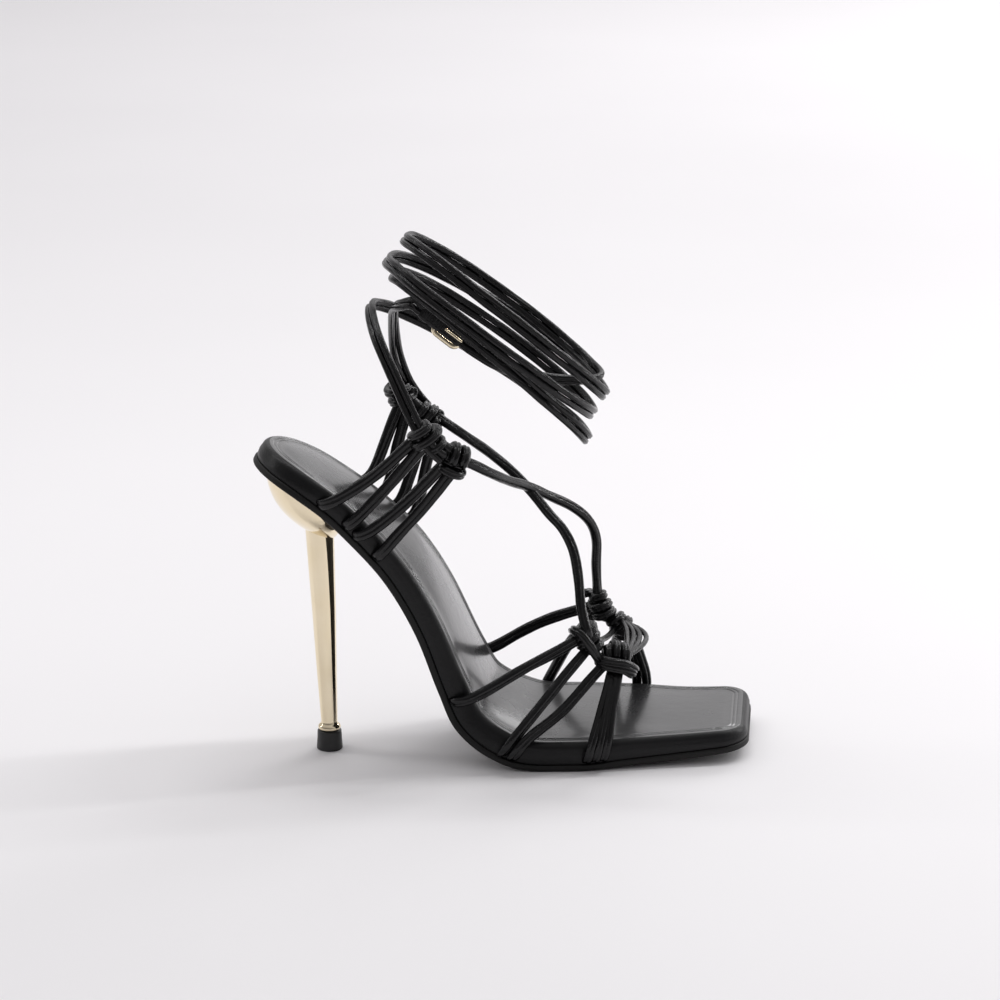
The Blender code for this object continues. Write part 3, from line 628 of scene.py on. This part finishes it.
def tip_rubber():
    """Satin moulded rubber, with faint turning lines."""
    material, tree, shader = shader_of("tip_rubber", (0.014, 0.014, 0.014), 0.45)
    place_in = coordinates(tree)
    lines = noise(tree, place_in, 500.0, 2.0, (0.1, 0.1, 4.0))
    patches = noise(tree, place_in, 300.0, 3.0)
    colour = tinted(tree, patches, (0.010, 0.010, 0.010), (0.020, 0.020, 0.020))
    wired(tree, shader, colour, ranged(tree, patches, 0.36, 0.52), bumped(tree, lines, 0.00003))
    return material


def gold_plate():
    """Mirror-polished pale gold plating with a faint cloudiness."""
    material, tree, shader = shader_of("gold_plate", (0.88, 0.77, 0.56), 0.05, 1.0)
    place_in = coordinates(tree)
    clouds = noise(tree, place_in, 70.0, 4.0)
    waves = noise(tree, place_in, 90.0, 1.0)
    colour = tinted(tree, clouds, (0.85, 0.735, 0.52), (0.91, 0.80, 0.60))
    roughness, normal = ranged(tree, clouds, 0.03, 0.075), bumped(tree, waves, 0.00004, 0.35)
    wired(tree, shader, colour, roughness, normal)
    return material


CORD_LEATHER = cord_leather()
WALL_LEATHER = covered_leather(
    "footbed_wall", (0.003, 0.003, 0.0034), (0.007, 0.007, 0.0075), (0.32, 0.42), 0.00005, 0.0, 0.26
)
SOCK_LEATHER = covered_leather(
    "footbed_sock", (0.02, 0.02, 0.021), (0.032, 0.032, 0.033), (0.24, 0.32), 0.00003, 0.8, 0.5
)
SOLE_SHEET = sole_sheet()
TIP_RUBBER = tip_rubber()
GOLD_PLATE = gold_plate()


# Footbed and outsole
def arc(radius, steps, start_degrees):
    turns = np.radians(start_degrees + 90 * np.arange(steps + 1) / steps)
    return list(zip(radius * np.cos(turns), radius * np.sin(turns)))


def sock_height(u, y, way):
    """Height of the sock, with a gentle crown that falls away to both sides and to the toe."""
    wide = np.where(y < 0, half_width(u, OUTER), half_width(u, INNER)) - GROOVE_STEPS[-1]
    beside = np.clip(y / np.maximum(wide, 0.01), -1.0, 1.0)
    ahead = np.clip((u - LENGTH + GROOVE_STEPS[-1]) / CROWN_TOE + 1, 0.0, 1.0)
    crown = CROWN * (1 - beside**2) * (1 - ahead**2) * (1 - (1 - way) ** CROWN_EDGE)
    return section("thick", u) + crown


def footbed():
    low = OUTSOLE_THICK + FEATHER_GAP
    top = section("thick", OUTLINE[:, 0])
    foot, brow = low + FEATHER_RADIUS, top - RIM_RADIUS
    rings = [inner_ring(FEATHER_RADIUS, way, low) for way in (1.0, 0.5)]
    for out, up in arc(FEATHER_RADIUS, FEATHER_STEPS, -90):
        rings.append(rim_ring(out - FEATHER_RADIUS, foot + up))
    for t in np.linspace(0.0, 1.0, WALL_STEPS)[1:-1]:
        rings.append(rim_ring(WALL_BULGE * math.sin(math.pi * t), foot + (brow - foot) * t))
    for out, up in arc(RIM_RADIUS, RIM_STEPS, 0):
        rings.append(rim_ring(out - RIM_RADIUS, brow + up))
    wall_bands = len(rings) - 1 - RIM_SOCK_BANDS
    for inset in GROOVE_STEPS[1:]:
        dip = sum(GROOVE_DEPTH * math.exp(-(((inset - at) / GROOVE_WIDTH) ** 2)) for at in GROOVES)
        rings.append(rim_ring(-inset, top - dip))
    for way in np.linspace(0.0, 1.0, CROWN_STEPS + 1)[1:]:
        rings.append(inner_ring(GROOVE_STEPS[-1], way, sock_height))
    points, quads = skin(rings)
    kinds = np.repeat(np.arange(len(rings) - 1) >= wall_bands, len(OUTLINE)).astype(int)
    mesh = mesh_of("padded_footbed", points, quads, kinds, weld=SOLE_WELD)
    made = piece("padded_footbed", mesh, [WALL_LEATHER, SOCK_LEATHER], "footbed_cover", "footbed")


def outsole():
    rings = [inner_ring(0.0, way, 0.0) for way in (1.0, 0.8, 0.6, 0.4, 0.2)]
    for level, start in ((SHEET_ROUND, -90), (OUTSOLE_THICK - SHEET_ROUND, 0)):
        for out, up in arc(SHEET_ROUND, SHEET_STEPS, start):
            rings.append(rim_ring(OUTSOLE_LEDGE - SHEET_ROUND + out, level + up))
    rings += [inner_ring(SHEET_INSET, way, OUTSOLE_THICK) for way in (0.0, 0.5, 1.0)]
    points, quads = skin(rings)
    mesh = mesh_of("sole_sheet", points, quads, weld=SOLE_WELD)
    piece("sole_sheet", mesh, [SOLE_SHEET], "sole_sheet", "outsole")


# Heel and its tip
def closed_rings(name, rings):
    """A skin over rings, with a flat cap at each end."""
    points, faces = skin(rings)
    count = len(rings[0])
    faces.append(list(range(count)))
    faces.append(list(range(len(points) - count, len(points))))
    return mesh_of(name, points, faces, weld=HEEL_WELD)


def through(rows, steps):
    """Rows on a smooth curve through the given ones."""
    rows = np.array(rows, float)
    at = np.concatenate([[0.0], np.cumsum(np.linalg.norm(np.diff(rows, axis=0), axis=1))])
    fine = np.linspace(0.0, at[-1], steps)
    return np.stack([eased(at, rows[:, k], fine) for k in range(rows.shape[1])], 1)


def heel():
    turns = np.linspace(0.0, 2 * math.pi, HEEL_SIDES, endpoint=False)
    seat_u = SEAT_CENTRE + SEAT_LENGTH / 2 * np.cos(turns)
    seat = place(seat_u, SEAT_WIDTH / 2 * np.sin(turns), -GAP)
    stem = []
    for z, x, radius, tilt in STEM:
        forward = radius * np.cos(turns)
        stem.append(np.stack([x + forward, radius * np.sin(turns), z - tilt * forward], 1))
    cup = []
    for inward, down in through(CUP, CUP_STEPS)[:-1]:
        ring = seat * (1 - inward) + stem[0] * inward
        ring[:, 2] = seat[:, 2] + (stem[0][:, 2] - seat[:, 2]) * down
        cup.append(ring)
    mesh = closed_rings("stiletto_heel", cup + stem)
    mesh.set_sharp_from_angle(angle=HEEL_SHARP)
    piece("stiletto_heel", mesh, [GOLD_PLATE], "gold_plate", "heel")


def heel_tip():
    turns = np.linspace(0.0, 2 * math.pi, TIP_SIDES, endpoint=False)
    rings = []
    for radius, z in TIP:
        x = STEM[-1].x + radius * np.cos(turns)
        rings.append(np.stack([x, radius * np.sin(turns), np.full_like(turns, z)], 1))
    mesh = closed_rings("heel_top_piece", rings)
    mesh.set_sharp_from_angle(angle=TIP_SHARP)
    piece("heel_top_piece", mesh, [TIP_RUBBER], "tip_rubber", "heel_tip")


# Cords
def unit(vector):
    return vector / np.linalg.norm(vector, axis=-1, keepdims=True)


def measured(line):
    return np.concatenate([[0.0], np.cumsum(np.linalg.norm(np.diff(line, axis=0), axis=1))])


def resampled(line, step):
    run = measured(line)
    at = np.linspace(0.0, run[-1], max(2, round(run[-1] / step) + 1))
    return np.stack([np.interp(at, run, line[:, k]) for k in range(3)], 1)


def smooth(points, step=FINE_STEP):
    """Points a step apart on a smooth curve through the given ones."""
    knots = np.array(points, float)
    ends = np.vstack([2 * knots[0] - knots[1], knots, 2 * knots[-1] - knots[-2]])
    t = np.linspace(0, 1, CURVE_STEPS, endpoint=False)[:, None]
    fine = []
    for before, start, end, after in zip(ends, ends[1:], ends[2:], ends[3:]):
        square = 2 * before - 5 * start + 4 * end - after
        cube = 3 * start - before - 3 * end + after
        fine.append(0.5 * (2 * start + (end - before) * t + (square * t**2 + cube * t**3)))
    fine.append(knots[-1:])
    return resampled(np.vstack(fine), step)


def softened(line, passes):
    """The line with its corners eased, its ends kept."""
    line = line.copy()
    for _ in range(passes):
        line[1:-1] = (line[:-2] + 2 * line[1:-1] + line[2:]) / 4
    return line


def carried(line, first, closed=False):
    """Tangents, normals and sides along a line.

    First is one normal, which is carried along without twist, or one for each point.
    """
    if closed:
        tangents = unit(np.roll(line, -1, axis=0) - np.roll(line, 1, axis=0))
    else:
        tangents = unit(np.gradient(line, axis=0))
    first = np.asarray(first, float)
    if first.ndim == 2:
        normals = unit(first - tangents * np.sum(first * tangents, axis=1, keepdims=True))
        return tangents, normals, np.cross(tangents, normals)
    normals = np.empty_like(line)
    normal = first
    for i, tangent in enumerate(tangents):
        normal = unit(normal - tangent * np.dot(normal, tangent))
        normals[i] = normal
    return tangents, normals, np.cross(tangents, normals)


HALF_TURN = [*CREASE_ANGLES, math.pi / 2, *(math.pi - angle for angle in CREASE_ANGLES[:0:-1])]
HALF_SHAPE = [*CREASE_SHAPE, 1.0, *CREASE_SHAPE[:0:-1]]
CREASE = np.array(HALF_TURN + [angle + math.pi for angle in HALF_TURN])
CREASE_RADIUS = np.array(HALF_SHAPE * 2)


class Bundle:
    """Swept surfaces gathered into one mesh, with lengths and turns as texture coordinates."""

    def __init__(self):
        self.points, self.faces, self.spots = [], [], []
        self.count = 0

    def tube(self, line, profile, first, dome=0.0, closed=False):
        """A skin along a line: profile is one ring of (out, aside), or a ring for each point."""
        line = np.asarray(line, float)
        rings = np.broadcast_to(profile, (len(line), *np.shape(profile)[-2:]))
        tangents, normals, across = carried(line, first, closed)
        if dome:
            turns = np.radians(DOME_ANGLES)[:, None]
            before = tangents[0] * dome * -np.sin(turns[::-1])
            after = tangents[-1] * dome * np.sin(turns)
            line = np.concatenate([line[0] + before, line, line[-1] + after])
            starts = rings[0] * np.cos(turns[::-1])[:, None]
            stops = rings[-1] * np.cos(turns)[:, None]
            rings = np.concatenate([starts, rings, stops])
            ends = len(turns)
            normals = np.concatenate([[normals[0]] * ends, normals, [normals[-1]] * ends])
            across = np.concatenate([[across[0]] * ends, across, [across[-1]] * ends])
        outward, aside = rings[..., :1] * normals[:, None], rings[..., 1:] * across[:, None]
        self.add(line[:, None] + outward + aside, measured(line), closed)

    def add(self, points, run, closed):
        rows, sides = points.shape[:2]
        index = self.count + np.arange(rows * sides).reshape(rows, sides)
        self.count += rows * sides
        self.points.append(points.reshape(-1, 3))
        last = rows if closed else rows - 1
        for i in range(last):
            j = (i + 1) % rows
            following = run[j] if j else run[-1] + 1.0
            for k in range(sides):
                m = (k + 1) % sides
                self.faces.append((index[i, k], index[i, m], index[j, m], index[j, k]))
                low, high = k / sides, (k + 1) / sides
                self.spots += [(run[i], low), (run[i], high), (following, high), (following, low)]
        if not closed:
            self.faces.append(tuple(index[0, ::-1]))
            self.faces.append(tuple(index[-1]))
            self.spots += [(run[0], 0.5)] * sides + [(run[-1], 0.5)] * sides

    def cord(self, line, radius, facing=(0.0, 0.0, 1.0), flat=None, crease=1.0, wander=0.22):
        """A leather cord pressed along its middle, with the crease facing one way.

        Flat gives how thick and wide it is at each point, as shares of a round cord.
        """
        run = measured(line)
        phases = RANDOM.uniform(0, 2 * math.pi, 6)
        slow, quick = (np.sin(run / DRIFT_LENGTHS[k] + phases[k]) for k in (0, 1))
        drift = wander * (slow + DRIFT_SECOND * quick)
        first, second = (
            SWELL_SIZES[k] * np.sin(run / SWELL_LENGTHS[k] + phases[2 + k]) for k in (0, 1)
        )
        swell = 1 + first + second
        turns = CREASE[None] + drift[:, None]
        size = radius * (1 - crease * (1 - CREASE_RADIUS[None])) * swell[:, None]
        size = size * (1 + LOBE_SIZE * np.sin(3 * turns + run[:, None] / LOBE_LENGTH + phases[4]))
        profile = np.stack([size * np.cos(turns), size * np.sin(turns)], -1)
        if flat is not None:
            profile = profile * flat[:, None]
        sway = np.stack([np.sin(run / SWAY_LENGTH + phases[5] + k) for k in range(3)], 1)
        self.tube(line + SWAY_SIZE * radius * sway, profile, facing, dome=radius)

    def mesh(self, name):
        mesh = mesh_of(name, np.concatenate(self.points), self.faces)
        layer = mesh.uv_layers.new(name="along")
        layer.data.foreach_set("uv", np.array(self.spots, np.float32).ravel())
        return mesh


def strap_route(u, side, lean, target, bow):
    """From the feather line up the sole's edge, over the rim and on to the target."""
    top = float(section("thick", u))
    feather = OUTSOLE_THICK + GAP
    beside = CORD_RADIUS + GAP
    tucked = place(*edge(u, side, TUCK_OUT), feather + TUCK_UP)
    turning = place(*edge(u + TURN_LEAN * lean, side, TURN_OUT), feather + TURN_UP)
    at_wall = place(*edge(u + WALL_LEAN * lean, side, beside), WALL_HEIGHT * top)
    at_rim = place(*edge(u + lean, side, beside + RIM_CLEAR), top + RIM_CLEAR)
    outward, upward = BOW_WAY
    middle = (at_rim + target) / 2 + np.array((0.0, outward * side, upward)) * bow
    upper = smooth([at_wall, at_rim, middle, target], ROUTE_STEP)
    whole = resampled(np.vstack([tucked, turning, upper]), ROUTE_STEP)
    return resampled(softened(whole, RIM_EASE), FINE_STEP)


def straps(bundle, rows, side):
    for row in rows:
        for k in range(row.cords):
            shift = (2 * k - row.cords + 1) * SPACING[row.cords]
            target = np.array(KNOTS[row.knot]) + np.array((row.aim_x, 0.0, row.aim_z)) + FAN * shift
            line = strap_route(u_at(row.x) + shift, side, row.lean, target, row.bow)
            way = np.clip(measured(line) / FLAT_RUN, 0.0, 1.0)[:, None]
            way = way * way * (3 - 2 * way)
            flat = FLAT_SHAPE * (1 - way) + STRAP_SHAPE * way
            bundle.cord(line, STRAP_RADIUS * SLIM[row.cords], (0.0, side, 0.0), flat)


def coil(bundle, centre, side, row):
    """A cord wound in oval loops round an axis that lies in the side view."""
    axis = unit(np.array((row.axis_x, 0.0, row.axis_z)))
    across = np.array((-axis[2], 0.0, axis[0]))
    depth = np.array((0.0, side, 0.0))
    start = RANDOM.uniform(0, 2 * math.pi)
    t = np.linspace(0.0, row.turns, round(row.turns * COIL_STEPS))[:, None]
    angle = 2 * math.pi * t + start
    tuck = np.clip(np.minimum(t, row.turns - t) / TUCK_TURN, 0.0, 1.0)
    reach = TUCK_REACH + (1 - TUCK_REACH) * tuck * tuck * (3 - 2 * tuck)
    uneven = 1 + UNEVEN_SIZE * np.sin(angle * UNEVEN_PACE + start)
    middle = np.array(centre) + np.array((row.x, side * row.out, row.z))
    line = middle + axis * row.pitch * (t - row.turns / 2)
    line = line + across * row.across * np.cos(angle) * reach * uneven
    line = line + depth * row.depth * np.sin(angle) * reach * uneven
    line = resampled(line, KNOT_STEP)
    away = line - middle
    bundle.cord(line, KNOT_CORD, away - axis * (away @ axis)[:, None])


def core(bundle, centre, side, row):
    """A thick filling inside a coil, so that no light shows through it."""
    axis = unit(np.array((row.axis_x, 0.0, row.axis_z)))
    middle = np.array(centre) + np.array((row.x, side * row.out, row.z))
    half = axis * (row.pitch * row.turns / 2 - CORE_SHORT)
    line = resampled(np.stack([middle - half, middle + half]), KNOT_STEP)
    bundle.cord(line, CORE_RADIUS, (0.0, 1.0, 0.0))


def knot(bundle, name):
    centre = KNOTS[name]
    side = OUTER if name.endswith("outer") else INNER
    for row in KNOT_COILS[name]:
        core(bundle, centre, side, row)
        coil(bundle, centre, side, row)
    for band in KNOT_BANDS.get(name, ()):
        route = smooth(np.array(band) * (1.0, side, 1.0) + np.array(centre), KNOT_STEP)
        bundle.cord(route, KNOT_CORD, route - np.array(centre))


def filler(bundle, *names):
    """A thick cord inside two neighbouring knots, which closes the space between them."""
    ends = []
    for name in names:
        row, side = KNOT_COILS[name][0], OUTER if name.endswith("outer") else INNER
        ends.append(np.array(KNOTS[name]) + np.array((row.x, side * row.out, row.z)))
    bundle.cord(resampled(np.stack(ends), KNOT_STEP), FILLER_RADIUS, (0.0, 1.0, 0.0))


def beside_axis(line, offset):
    """The line moved sideways across the band that winds round the ankle."""
    along = np.gradient(line, axis=0)
    away = line - ANKLE_AXIS_POINT
    away = away - ANKLE_AXIS * (away @ ANKLE_AXIS)[:, None]
    return line + unit(np.cross(along, away)) * offset


TAB_ALONG = unit(TAB_END - TAB_START)


def ankle_route():
    """Over the outer knot, then half turns by the inner side and the outer side in turn."""
    points = [np.array(point) for point in OUTER_RISE]
    for i, (turn, following) in enumerate(zip(TURNS, TURNS[1:])):
        side = INNER if i % 2 == 0 else OUTER
        start, end = np.array((turn.x, 0.0, turn.z)), np.array((following.x, 0.0, following.z))
        for step in range(TURN_STEPS):
            angle = math.pi * step / TURN_STEPS
            swing = np.array((0.0, side * turn.half_depth, turn.lift)) * math.sin(angle)
            points.append((start + end) / 2 + (start - end) / 2 * math.cos(angle) + swing)
    points.append(np.array((TURNS[-1].x, 0.0, TURNS[-1].z)))
    points += [np.array(point) for point in OUTER_END]
    return smooth(points + [TAB_END + TAB_ALONG * TAB_RUN, TAB_END])


def buckle_route():
    points = [np.array(point) for point in INNER_RISE]
    return smooth(points + [TAB_START - TAB_ALONG * TAB_RUN, TAB_START])


def bundled(name, bundle, *nodes):
    piece(name, bundle.mesh(name), [CORD_LEATHER], "cord_leather", *nodes)


def vamp():
    cords, knots = Bundle(), Bundle()
    straps(cords, VAMP_OUTER, OUTER)
    straps(cords, VAMP_INNER, INNER)
    t = np.linspace(0.0, 1.0, TOE_POINTS)[:, None]
    for forward, up in zip(np.linspace(*TOE_FORWARD, TOE_CORDS), np.linspace(*TOE_UP, TOE_CORDS)):
        bulge = np.array((forward, 0.0, up)) * np.sin(math.pi * t)
        route = TOE_INNER * (1 - t) + TOE_OUTER * t + bulge
        cords.cord(smooth(route), TOE_RADIUS, TOE_FACING, crease=TOE_CREASE)
    cords.cord(smooth(VAMP_BAR), BAR_RADIUS, crease=BAR_CREASE)
    for name in KNOTS:
        if name.startswith("vamp"):
            knot(knots, name)
    bundled("vamp_cords", cords, "vamp_straps")
    bundled("vamp_knots", knots, "vamp_straps")


def quarters():
    for word, rows, side in (("outer", QUARTER_OUTER, OUTER), ("inner", QUARTER_INNER, INNER)):
        cords, knots = Bundle(), Bundle()
        straps(cords, rows, side)
        knot(knots, f"ankle_{word}")
        knot(knots, f"instep_{word}")
        filler(knots, f"ankle_{word}", f"instep_{word}")
        bundled(f"quarter_cords_{word}", cords, f"quarter_straps_{word}")
        bundled(f"quarter_knots_{word}", knots, f"quarter_straps_{word}")


def instep():
    cords = Bundle()
    for route in (INSTEP_OVER, INSTEP_UNDER):
        cords.cord(smooth(route), INSTEP_RADIUS, INSTEP_FACING, crease=LACE_CREASE)
    bundled("crossed_cords", cords, "instep_cords")


def ankle():
    for label, offset in (("1", LACE_HALF), ("2", -LACE_HALF)):
        for name, route in (("ankle", ankle_route()), ("buckle", buckle_route())):
            cords = Bundle()
            line = beside_axis(route, offset)
            away = line - ANKLE_AXIS_POINT
            away = away - ANKLE_AXIS * (away @ ANKLE_AXIS)[:, None]
            cords.cord(line, LACE_RADIUS, away, crease=LACE_CREASE, wander=LACE_WANDER)
            bundled(f"{name}_lace_{label}", cords, f"{name}_cord_{label}")


# Buckle
def tab_axes():
    """The tab's middle, and the directions along it, across it and out from the ankle."""
    middle = (TAB_START + TAB_END) / 2
    away = middle - ANKLE_AXIS_POINT
    away = away - ANKLE_AXIS * (away @ ANKLE_AXIS)
    away = unit(away - TAB_ALONG * (away @ TAB_ALONG))
    return middle, TAB_ALONG, np.cross(away, TAB_ALONG), away


def rounded_strip(width, thick, count=28, power=0.45):
    """A flat strip's section with soft edges, as (out, aside)."""
    turns = np.linspace(0.0, 2 * math.pi, count, endpoint=False)
    out = np.sign(np.cos(turns)) * np.abs(np.cos(turns)) ** power * thick / 2
    aside = np.sign(np.sin(turns)) * np.abs(np.sin(turns)) ** power * width / 2
    return np.stack([out, aside], 1)


def wire(radius, count=14):
    turns = np.linspace(0.0, 2 * math.pi, count, endpoint=False)
    return np.stack([radius * np.cos(turns), radius * np.sin(turns)], 1)


def buckle():
    middle, along, across, away = tab_axes()
    half = np.linalg.norm(TAB_END - TAB_START) / 2
    tab = Bundle()
    line = np.stack([TAB_START + along * TAB_SHORT, TAB_END - along * TAB_SHORT])
    tab.tube(resampled(line, BUCKLE_STEP), rounded_strip(TAB_WIDTH, TAB_THICK), away, dome=TAB_DOME)
    for side in (-1, 1):
        beside = across * side * (TAB_WIDTH / 2 - STITCH_INSET)
        for at in np.arange(-half + STITCH_FIRST, half - STITCH_LAST, STITCH_STEP):
            spot = middle + along * at + beside + away * TAB_THICK / 2
            ends = np.stack([spot - along * STITCH_LENGTH / 2, spot + along * STITCH_LENGTH / 2])
            thread = wire(STITCH_RADIUS, STITCH_SIDES)
            tab.tube(resampled(ends, STITCH_FINE), thread, away, dome=STITCH_RADIUS)
    bundled("buckle_strap", tab, "buckle_tab")

    ring = []
    for quarter in range(4):
        corner = math.radians(90 * quarter + 45)
        corner_x = math.copysign(FRAME_LENGTH / 2 - FRAME_CORNER, math.cos(corner))
        corner_y = math.copysign(FRAME_WIDTH / 2 - FRAME_CORNER, math.sin(corner))
        for angle in np.radians(90 * quarter + np.linspace(0, 90, CORNER_STEPS)):
            x = corner_x + FRAME_CORNER * math.cos(angle)
            y = corner_y + FRAME_CORNER * math.sin(angle)
            ring.append(along * (x + FRAME_SHIFT) + across * y)
    depth = TAB_THICK / 2 + GAP + FRAME_WIRE / 2
    rim = Bundle()
    profile = wire(FRAME_WIRE / 2) * FRAME_SHAPE
    rim.tube(middle - away * depth + np.array(ring), profile, away, closed=True)
    piece("buckle_rim", rim.mesh("buckle_rim"), [GOLD_PLATE], "gold_plate", "buckle_frame")

    height = TAB_THICK / 2 + GAP + PIN_WIRE / 2
    reach = (PIN_START, FRAME_LENGTH / 2)
    line = np.stack([middle + along * (x + FRAME_SHIFT) + away * height for x in reach])
    tongue = Bundle()
    tongue.tube(resampled(line, BUCKLE_STEP), wire(PIN_WIRE / 2), away, dome=PIN_WIRE / 2)
    piece("buckle_tongue", tongue.mesh("buckle_tongue"), [GOLD_PLATE], "gold_plate", "buckle_pin")


# Studio
def floor():
    corners = [(FLOOR_HALF * x, FLOOR_HALF * y, 0) for x, y in ((-1, -1), (1, -1), (1, 1), (-1, 1))]
    mesh = bpy.data.meshes.new("studio_floor")
    mesh.from_pydata(corners, [], [(0, 1, 2, 3)])
    obj = bpy.data.objects.new("studio_floor", mesh)
    bpy.context.scene.collection.objects.link(obj)
    pale = np.array(STUDIO_TINT) * FLOOR_PALE
    material, tree, shader = shader_of("studio_floor", pale, 0.65)
    patches = noise(tree, coordinates(tree), 3.0, 2.0)
    tree.links.new(tinted(tree, patches, pale * 0.99, pale * 1.01), shader.inputs["Base Color"])
    mesh.materials.append(material)


def area_light(name, size, watts):
    light = bpy.data.lights.new(name, "AREA")
    light.shape = "RECTANGLE"
    light.size, light.size_y = size
    light.energy = watts
    return light


def aimed(obj, spot, aim):
    obj.location = spot
    obj.rotation_mode = "QUATERNION"
    obj.rotation_quaternion = (Vector(aim) - Vector(spot)).to_track_quat("-Z", "Y")
    bpy.context.scene.collection.objects.link(obj)


def strip_light(number, degrees, watts):
    """One length of an arch of narrow lamps that stands over the shoe from left to right."""
    turn = math.radians(degrees)
    across = Vector((math.cos(turn), 0.0, math.sin(turn)))
    along = Vector((-math.sin(turn), 0.0, math.cos(turn)))
    away = (across + Vector((0.0, ARCH_BACK, 0.0))).normalized()
    turned = Matrix((along, away.cross(along), away)).transposed().to_4x4()
    name = f"strip_{number}"
    obj = bpy.data.objects.new(name, area_light(name, ARCH_STRIP, watts))
    obj.matrix_world = Matrix.Translation(ARCH_MIDDLE + away * ARCH_RADIUS) @ turned
    bpy.context.scene.collection.objects.link(obj)


def softbox(lamp):
    light = area_light(lamp.name, lamp.size, lamp.watts)
    light.color = SOFT_TINT
    aimed(bpy.data.objects.new(lamp.name, light), lamp.place, lamp.aim)


def surroundings():
    """A pale studio, lightest above and behind the shoe and a little lighter towards the right."""
    world = bpy.data.worlds.new("studio")
    world.use_nodes = True
    bpy.context.scene.world = world
    tree = world.node_tree
    way = coordinates(tree, "Generated")
    toward = tree.nodes.new("ShaderNodeVectorMath")
    toward.operation = "DOT_PRODUCT"
    toward.inputs[1].default_value = STUDIO_SLOPE
    tree.links.new(way, toward.inputs[0])
    level = node(tree, "ShaderNodeMapRange", From_Min=-1.0, From_Max=1.0)
    level.inputs["To Min"].default_value = STUDIO_LEVEL - 1.0
    level.inputs["To Max"].default_value = STUDIO_LEVEL + 1.0
    tree.links.new(toward.outputs["Value"], level.inputs["Value"])
    least = tree.nodes.new("ShaderNodeMath")
    least.operation = "MAXIMUM"
    least.inputs[1].default_value = STUDIO_LEAST
    tree.links.new(level.outputs["Result"], least.inputs[0])
    back = tree.nodes["Background"]
    back.inputs["Color"].default_value = (*STUDIO_TINT, 1.0)
    tree.links.new(least.outputs["Value"], back.inputs["Strength"])


def camera():
    data = bpy.data.cameras.new("camera")
    data.lens = CAMERA_LENS
    data.sensor_width = CAMERA_SENSOR
    obj = bpy.data.objects.new("camera", data)
    aimed(obj, CAMERA_SPOT, CAMERA_AIM)
    bpy.context.scene.camera = obj


camera()
footbed()
outsole()
heel()
heel_tip()
vamp()
quarters()
instep()
ankle()
buckle()
floor()
surroundings()
for number, (degrees, watts) in enumerate(ARCH_LAMPS, 1):
    strip_light(number, degrees, watts)
for lamp in SOFT_LAMPS:
    softbox(lamp)
bpy.context.scene.view_settings.view_transform = "Standard"
